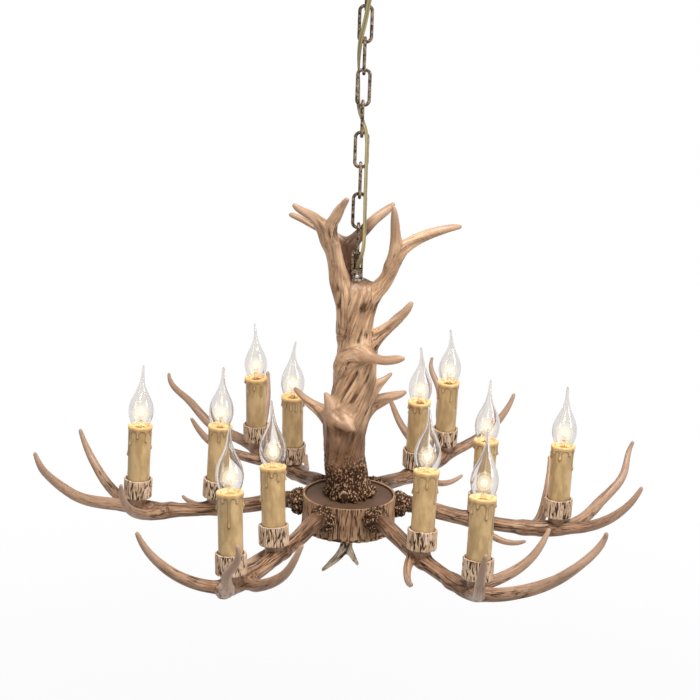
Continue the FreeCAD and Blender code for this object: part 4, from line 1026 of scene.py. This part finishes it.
def wax_over(around, below, drips):
    """How far inside the wax each point lies, and inside its upper layer, and how full its bead is."""
    curtain = np.full(len(around), -1.0)
    second = curtain.copy()
    ordered = sorted(drips)
    for (a, _, _), (b, _, _) in zip(ordered, ordered[1:] + [(ordered[0][0] + math.tau, 0, 0)]):
        share = ((around - a) % math.tau) / (b - a)
        arch = ARCH_TOP + ARCH_DROP * np.abs(2 * share - 1) ** 2.2
        here = share <= 1
        curtain = np.where(here, arch - below, curtain)
        second = np.where(here, 0.62 * arch - 0.0008 - below, second)
    bead = np.zeros(len(around))
    for a, long, half in drips:
        side = ((around - a + math.pi) % math.tau - math.pi) * SLEEVE_R
        past = np.maximum(below - long, 0)
        swollen = smooth_step(below, long - 0.008, long)
        runs = half * (0.72 + 0.4 * swollen) - np.hypot(side, past)
        bead = np.maximum(bead, swollen * smooth_step(runs, 0, half))
        curtain = np.maximum(curtain, runs)
    return curtain, second, bead


print("rows in a candle's outline", len(outline))

# %% [markdown]
# No two candles ran alike, so each draws its own drips: where they start, how long they are and how wide.
# The seed is fixed, so that the draws are the same every time. The points then move outwards by the
# thickness of the wax.

# %% Twelve wax candles
COAT, SECOND_COAT, BEAD, WAVE = 0.0012, 0.0005, 0.0014, 0.00025
chance = np.random.default_rng(20)
for name, at_rim in CANDLES.items():
    mesh = as_mesh(spun(outline, 128), "wax")
    at = points_of(mesh)
    count = int(chance.integers(8, 11))
    uneven = np.arange(count) + chance.uniform(-0.26, 0.26, count)
    starts = uneven * math.tau / count + chance.uniform(0, math.tau)
    drips = [(float(a % math.tau), 0.010 + 0.038 * float(chance.random() ** 2.2),
              float(chance.uniform(0.0011, 0.0018))) for a in starts]
    radius, below = np.hypot(at[:, 0], at[:, 1]), -at[:, 2]
    wall = smooth_step(radius, SLEEVE_R - 0.002, SLEEVE_R - 0.0003)
    reach, second, bead = wax_over(np.arctan2(at[:, 1], at[:, 0]) % math.tau, below, drips)
    wavy = noise_at(at, 1 / 0.011, 2.0)
    thick = (COAT * smooth_step(reach, -0.0001, 0.0010) + SECOND_COAT * smooth_step(second, -0.0001, 0.0008)
             + BEAD * bead)
    out = normals_of(mesh) * (1, 1, 0.2)
    move_points(mesh, at + out * (wall * (thick + WAVE * wavy))[:, None])
    mesh.transform(at_rim)
    piece("wax_candle_" + name, mesh, "wax", "fixture", ["candle_sleeves"])
    # The edge value is painted shade: a thin band just outside the edges of the wax and of its upper layer.
    lower_edge_shade = np.exp(-((reach + 0.0004) / 0.0006) ** 2)
    upper_edge_shade = 0.5 * np.exp(-((second + 0.0003) / 0.0005) ** 2) * (reach > 0)
    # The glow value is painted light: it is strongest on the top and near the rim, where the bulb shines.
    rim_glow = (1 - smooth_step(below, -0.001, 0.0060)) * 0.45
    keep(mesh, "edge", np.clip(lower_edge_shade + upper_edge_shade, 0, 1) * wall)
    keep(mesh, "layer", smooth_step(reach, 0, 0.0015) * wall)
    keep(mesh, "glow", rim_glow * (0.5 + 0.5 * smooth_step(radius, 0.008, 0.014)))
print("wax candles", len(CANDLES), "faces each", len(mesh.polygons))

# %% [markdown]
# ## Bulbs
# Each bulb is a bent-tip flame of clear glass, lit, on a brass screw cap. It turns in its holder, so all
# its pieces ride on the bulb's own body. The glass is painted a little darker where it is seen edge on:
# painted shade for the dark rims that bent light gives clear glass.

# %% Bulb finishes
begin("clear_glass")
# Painted shade: the glass's colour darkens where it is seen edge on.
thin = Wire.node("ShaderNodeLayerWeight", {}, {"Blend": 0.28}, "Facing")
haze = grain(place(), 60, 2)
tint = thin.step(0.25, 1.0).pick((0.876, 0.854, 0.836), (0.56, 0.535, 0.51))
finish(tint, haze * 0.02, Transmission_Weight=1.0, IOR=1.45)

begin("brass_cap")
rub = grain(place(), 400, 3)
brass = rub.step(0.35, 0.65).pick((0.62, 0.44, 0.17), (0.78, 0.58, 0.26))
finish(brass, 0.22 + rub * 0.2, rub, 0.0001, Metallic=1.0)

begin("light_halo")
fade = grain(place(), 90, 1)
finish((0, 0, 0), 1.0, Specular_IOR_Level=0.0, Alpha=kept("share"), Emission_Strength=1.5,
       Emission_Color=fade.step(0.2, 0.8).pick((1.0, 0.86, 0.60), (1.0, 0.92, 0.74)))

begin("hot_wire")
heat = grain(place(), 300, 2)
glowing = heat.step(0.2, 0.8).pick((1.0, 0.62, 0.22), (1.0, 0.80, 0.42))
finish((1.0, 0.8, 0.4), 0.5, Emission_Color=glowing, Emission_Strength=22.0)
print("bulb finishes ready")

# %% [markdown]
# The glass is written in shares of the bulb's height and half width. It is spun as a thin shell, its tip
# is pulled to one side, and a Solidify modifier gives the wall.

# %% Flame glass
BULB_R, BULB_TALL, BULB_BEND, GLASS_WALL = 0.0175, 0.085, 0.0045, 0.0007
BEND_START = 0.62
GLASS_LINE = ((-0.106, 0.43), (-0.09, 0.46), (-0.05, 0.56), (0.0, 0.71), (0.045, 0.80), (0.08, 0.865),
              (0.12, 0.925), (0.175, 0.982), (0.235, 1.0), (0.295, 0.98), (0.35, 0.935), (0.405, 0.85),
              (0.46, 0.735), (0.51, 0.61), (0.56, 0.49), (0.62, 0.365), (0.69, 0.25), (0.78, 0.165),
              (0.88, 0.12), (0.96, 0.092), (0.99, 0.06), (1.0, 0.0))


def lean_tip(shape):
    """Pulls the upper part of the glass to one side, more and more towards its end."""
    for v in shape.verts:
        share = max(v.co.z / BULB_TALL - BEND_START, 0) / (1 - BEND_START)
        v.co.x += BULB_BEND * share ** 2


def at_candle(shape, at_rim):
    """The shape, moved from the middle of the frame to a candle's rim."""
    bmesh.ops.transform(shape, matrix=at_rim, verts=shape.verts)
    return shape


def flame_glass(name, at_rim):
    """The thin glass of one bulb."""
    glass = spun([(BULB_R * half, BULB_TALL * share) for share, half in GLASS_LINE], 56)
    lean_tip(glass)
    shell = piece("flame_glass_" + name, at_candle(glass, at_rim), "clear_glass", "bulb_" + name,
                  ["bulb_glass_" + name])
    wall = shell.modifiers.new("wall", "SOLIDIFY")
    wall.thickness, wall.offset = GLASS_WALL, -1.0
    round_off = shell.modifiers.new("round", "SUBSURF")
    round_off.levels = round_off.render_levels = 1
    shell.visible_shadow = False


print("flame glass, %d mm tall" % round(BULB_TALL * 1000))

# %% [markdown]
# Below the glass is the screw cap, whose thread is a wavy outline. Inside stand a glass mount and two
# lead wires, and the filament sags between the ends of the wires.

# %% Cap, mount and filament
THREAD = [(0.0068 + 0.0004 * math.cos(i * math.pi / 2), -0.028 + 0.0009 * i) for i in range(20)]
CAP_FOOT = [(0.0, -0.033), (0.0025, -0.033), (0.004, -0.030), (0.0055, -0.030)]
CAP_TOP = [(0.0062, -0.0095), (0.0, -0.0094)]
MOUNT_LINE = [(0.0052, -0.0090), (0.0046, -0.004), (0.0028, 0.002), (0.0022, 0.008), (0.0030, 0.012),
              (0.0, 0.0135)]
LEAD_THICK, HOT_THICK = 0.0006, 0.0013
HOT_LINE = ((-0.006, 0, 0.020), (0, 0.0005, 0.0165), (0.006, 0, 0.020))


def rod(shape, start, end, thick):
    """A thin round rod between two points."""
    a, b = Vector(start), Vector(end)
    stand = Matrix.Translation((a + b) / 2) @ (b - a).to_track_quat("Z", "Y").to_matrix().to_4x4()
    bmesh.ops.create_cone(shape, cap_ends=True, segments=10, radius1=thick / 2, radius2=thick / 2,
                          depth=(b - a).length, matrix=stand)


def bulb_part(title, name, shape, at_rim, finish_name):
    """A piece that turns with its bulb and belongs to the solid of its cap and mount."""
    return piece("%s_%s" % (title, name), at_candle(shape, at_rim), finish_name, "bulb_" + name,
                 ["bulb_cap_" + name])


def cap_and_mount(name, at_rim):
    """The brass cap of one bulb and what stands inside the glass."""
    bulb_part("screw_cap", name, spun(CAP_FOOT + THREAD + CAP_TOP, 40), at_rim, "brass_cap")
    mount = bulb_part("glass_mount", name, spun(MOUNT_LINE, 32), at_rim, "clear_glass")
    mount.visible_shadow = False
    leads = bmesh.new()
    for side in (-1, 1):
        rod(leads, (side * 0.0015, 0, 0.004), (side * 0.006, 0, 0.020), LEAD_THICK)
    bulb_part("lead_wires", name, leads, at_rim, "brass_cap")
    wire = bmesh.new()
    for start, end in zip(HOT_LINE, HOT_LINE[1:]):
        rod(wire, start, end, HOT_THICK)
    bulb_part("filament", name, wire, at_rim, "hot_wire")


print("cap with %d points on its thread" % len(THREAD))

# %% [markdown]
# A lit filament blooms in a camera. Three thin shells, each fainter than the one inside it, draw this
# soft glow, and a small warm lamp in their middle lights the wax and the glass.

# %% Twelve bulbs
HALO_SHELLS = ((0.0048, 0.46), (0.0086, 0.26), (0.0120, 0.13))      # half width and strength
HALO_HEIGHT, LAMP_HEIGHT = 0.0175, 0.018


def soft_glow(name, at_rim):
    """The glow around one filament."""
    halo, shares = bmesh.new(), []
    stand = Matrix.Translation((0, 0, HALO_HEIGHT)) @ Matrix.Diagonal((1, 1, 1.15, 1))
    for radius, share in HALO_SHELLS:
        ball = bmesh.ops.create_icosphere(halo, subdivisions=3, radius=radius, matrix=stand)
        shares += [share] * len(ball["verts"])
    bloom = bulb_part("light_halo", name, halo, at_rim, "light_halo")
    keep(bloom.data, "share", shares)
    bloom.visible_shadow = False


def warm_lamp(name, at_rim):
    """The light that one bulb gives."""
    lamp = bpy.data.lights.new("lamp_" + name, "POINT")
    lamp.energy, lamp.color, lamp.shadow_soft_size = 0.10, (1.0, 0.62, 0.28), 0.014
    light = bpy.data.objects.new("lamp_" + name, lamp)
    bpy.context.scene.collection.objects.link(light)
    light.location = at_rim @ Vector((0, 0, LAMP_HEIGHT))
    light.visible_camera = light.visible_glossy = light.visible_transmission = False
    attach(light, "bulb_" + name)


for name, at_rim in CANDLES.items():
    flame_glass(name, at_rim)
    cap_and_mount(name, at_rim)
    soft_glow(name, at_rim)
    warm_lamp(name, at_rim)
print("bulbs", len(CANDLES))

# %% [markdown]
# ## Floor and light
# The photograph is a plain shop picture: white all round, soft light from above and from both sides. To
# the camera the room is white, also in a gloss and through glass. Everything else sees a pale grey room.

# %% White room
def seen_as_white():
    """1 for the rays that should find white: straight from the camera, from a gloss or through glass."""
    straight, gloss, through = (Wire.node("ShaderNodeLightPath", {}, {}, "Is %s Ray" % kind)
                                for kind in ("Camera", "Glossy", "Transmission"))
    return (straight + gloss + through).step(0, 1)


world = bpy.context.scene.world or bpy.data.worlds.new("studio")
bpy.context.scene.world = world
world.use_nodes = True
world.node_tree.nodes.clear()
Wire.tree = world.node_tree
strength = seen_as_white() * 0.79 + 0.21
room = Wire.node("ShaderNodeBackground", {}, {"Color": (1, 1, 1, 1), "Strength": strength})
Wire.node("ShaderNodeOutputWorld", {}, {"Surface": room})
print("room ready")

# %% [markdown]
# The floor lies well below the lamp and keeps only a soft shadow of it. Near the lamp a tenth of what the
# camera sees of the floor is real, and far away all of it is white.

# %% Floor
FLOOR_DROP, FLOOR_REACH = 0.75, 6.0
begin("pale_floor")
lay = Wire.node("ShaderNodeBsdfDiffuse", {}, {"Color": (0.74, 0.74, 0.74, 1)})
white = Wire.node("ShaderNodeEmission", {}, {"Color": (1, 1, 1, 1), "Strength": 1.0})
level = stretched(place(), 1, 1, 0)
far = Wire.node("ShaderNodeVectorMath", {"operation": "LENGTH"}, {0: level}, "Value").step(0.6, 2.4)
mixed = Wire.node("ShaderNodeMixShader", {}, {0: seen_as_white() * (0.90 + far * 0.10), 1: lay, 2: white})
Wire.node("ShaderNodeOutputMaterial", {}, {"Surface": mixed})

ground = bmesh.new()
bmesh.ops.create_grid(ground, x_segments=1, y_segments=1, size=FLOOR_REACH,
                      matrix=Matrix.Translation((0, 0, CAD_LOW.z - FLOOR_DROP)))
floor = piece("floor", ground, "pale_floor", None)
print("floor %.2f m below the lamp" % FLOOR_DROP)

# %% [markdown]
# Three soft lights stand in for the photographer's: a large one overhead and in front, a weak one on the
# left and a stronger one on the right.

# %% Lights
def soft_light(name, size, strength, at, towards):
    """A square light that looks at a point and isn't seen itself."""
    lamp = bpy.data.lights.new(name, "AREA")
    lamp.size, lamp.energy = size, strength
    light = bpy.data.objects.new(name, lamp)
    bpy.context.scene.collection.objects.link(light)
    light.location = at
    light.rotation_euler = (Vector(towards) - Vector(at)).to_track_quat("-Z", "Y").to_euler()
    light.visible_camera = False


MIDDLE = (0, 0, -0.7)
soft_light("overhead", 1.2, 122, (0.4, -1.2, 2.1), MIDDLE)
soft_light("left_side", 0.9, 7, (-2.0, -1.3, 0.0), MIDDLE)
soft_light("right_side", 0.9, 18, (2.1, -1.0, 0.0), MIDDLE)
bpy.context.scene.view_settings.view_transform = "Standard"
print("lights set")

# %% [markdown]
# ## Last update
# The view layer is brought up to date.

# %% Last update
bpy.context.view_layer.update()
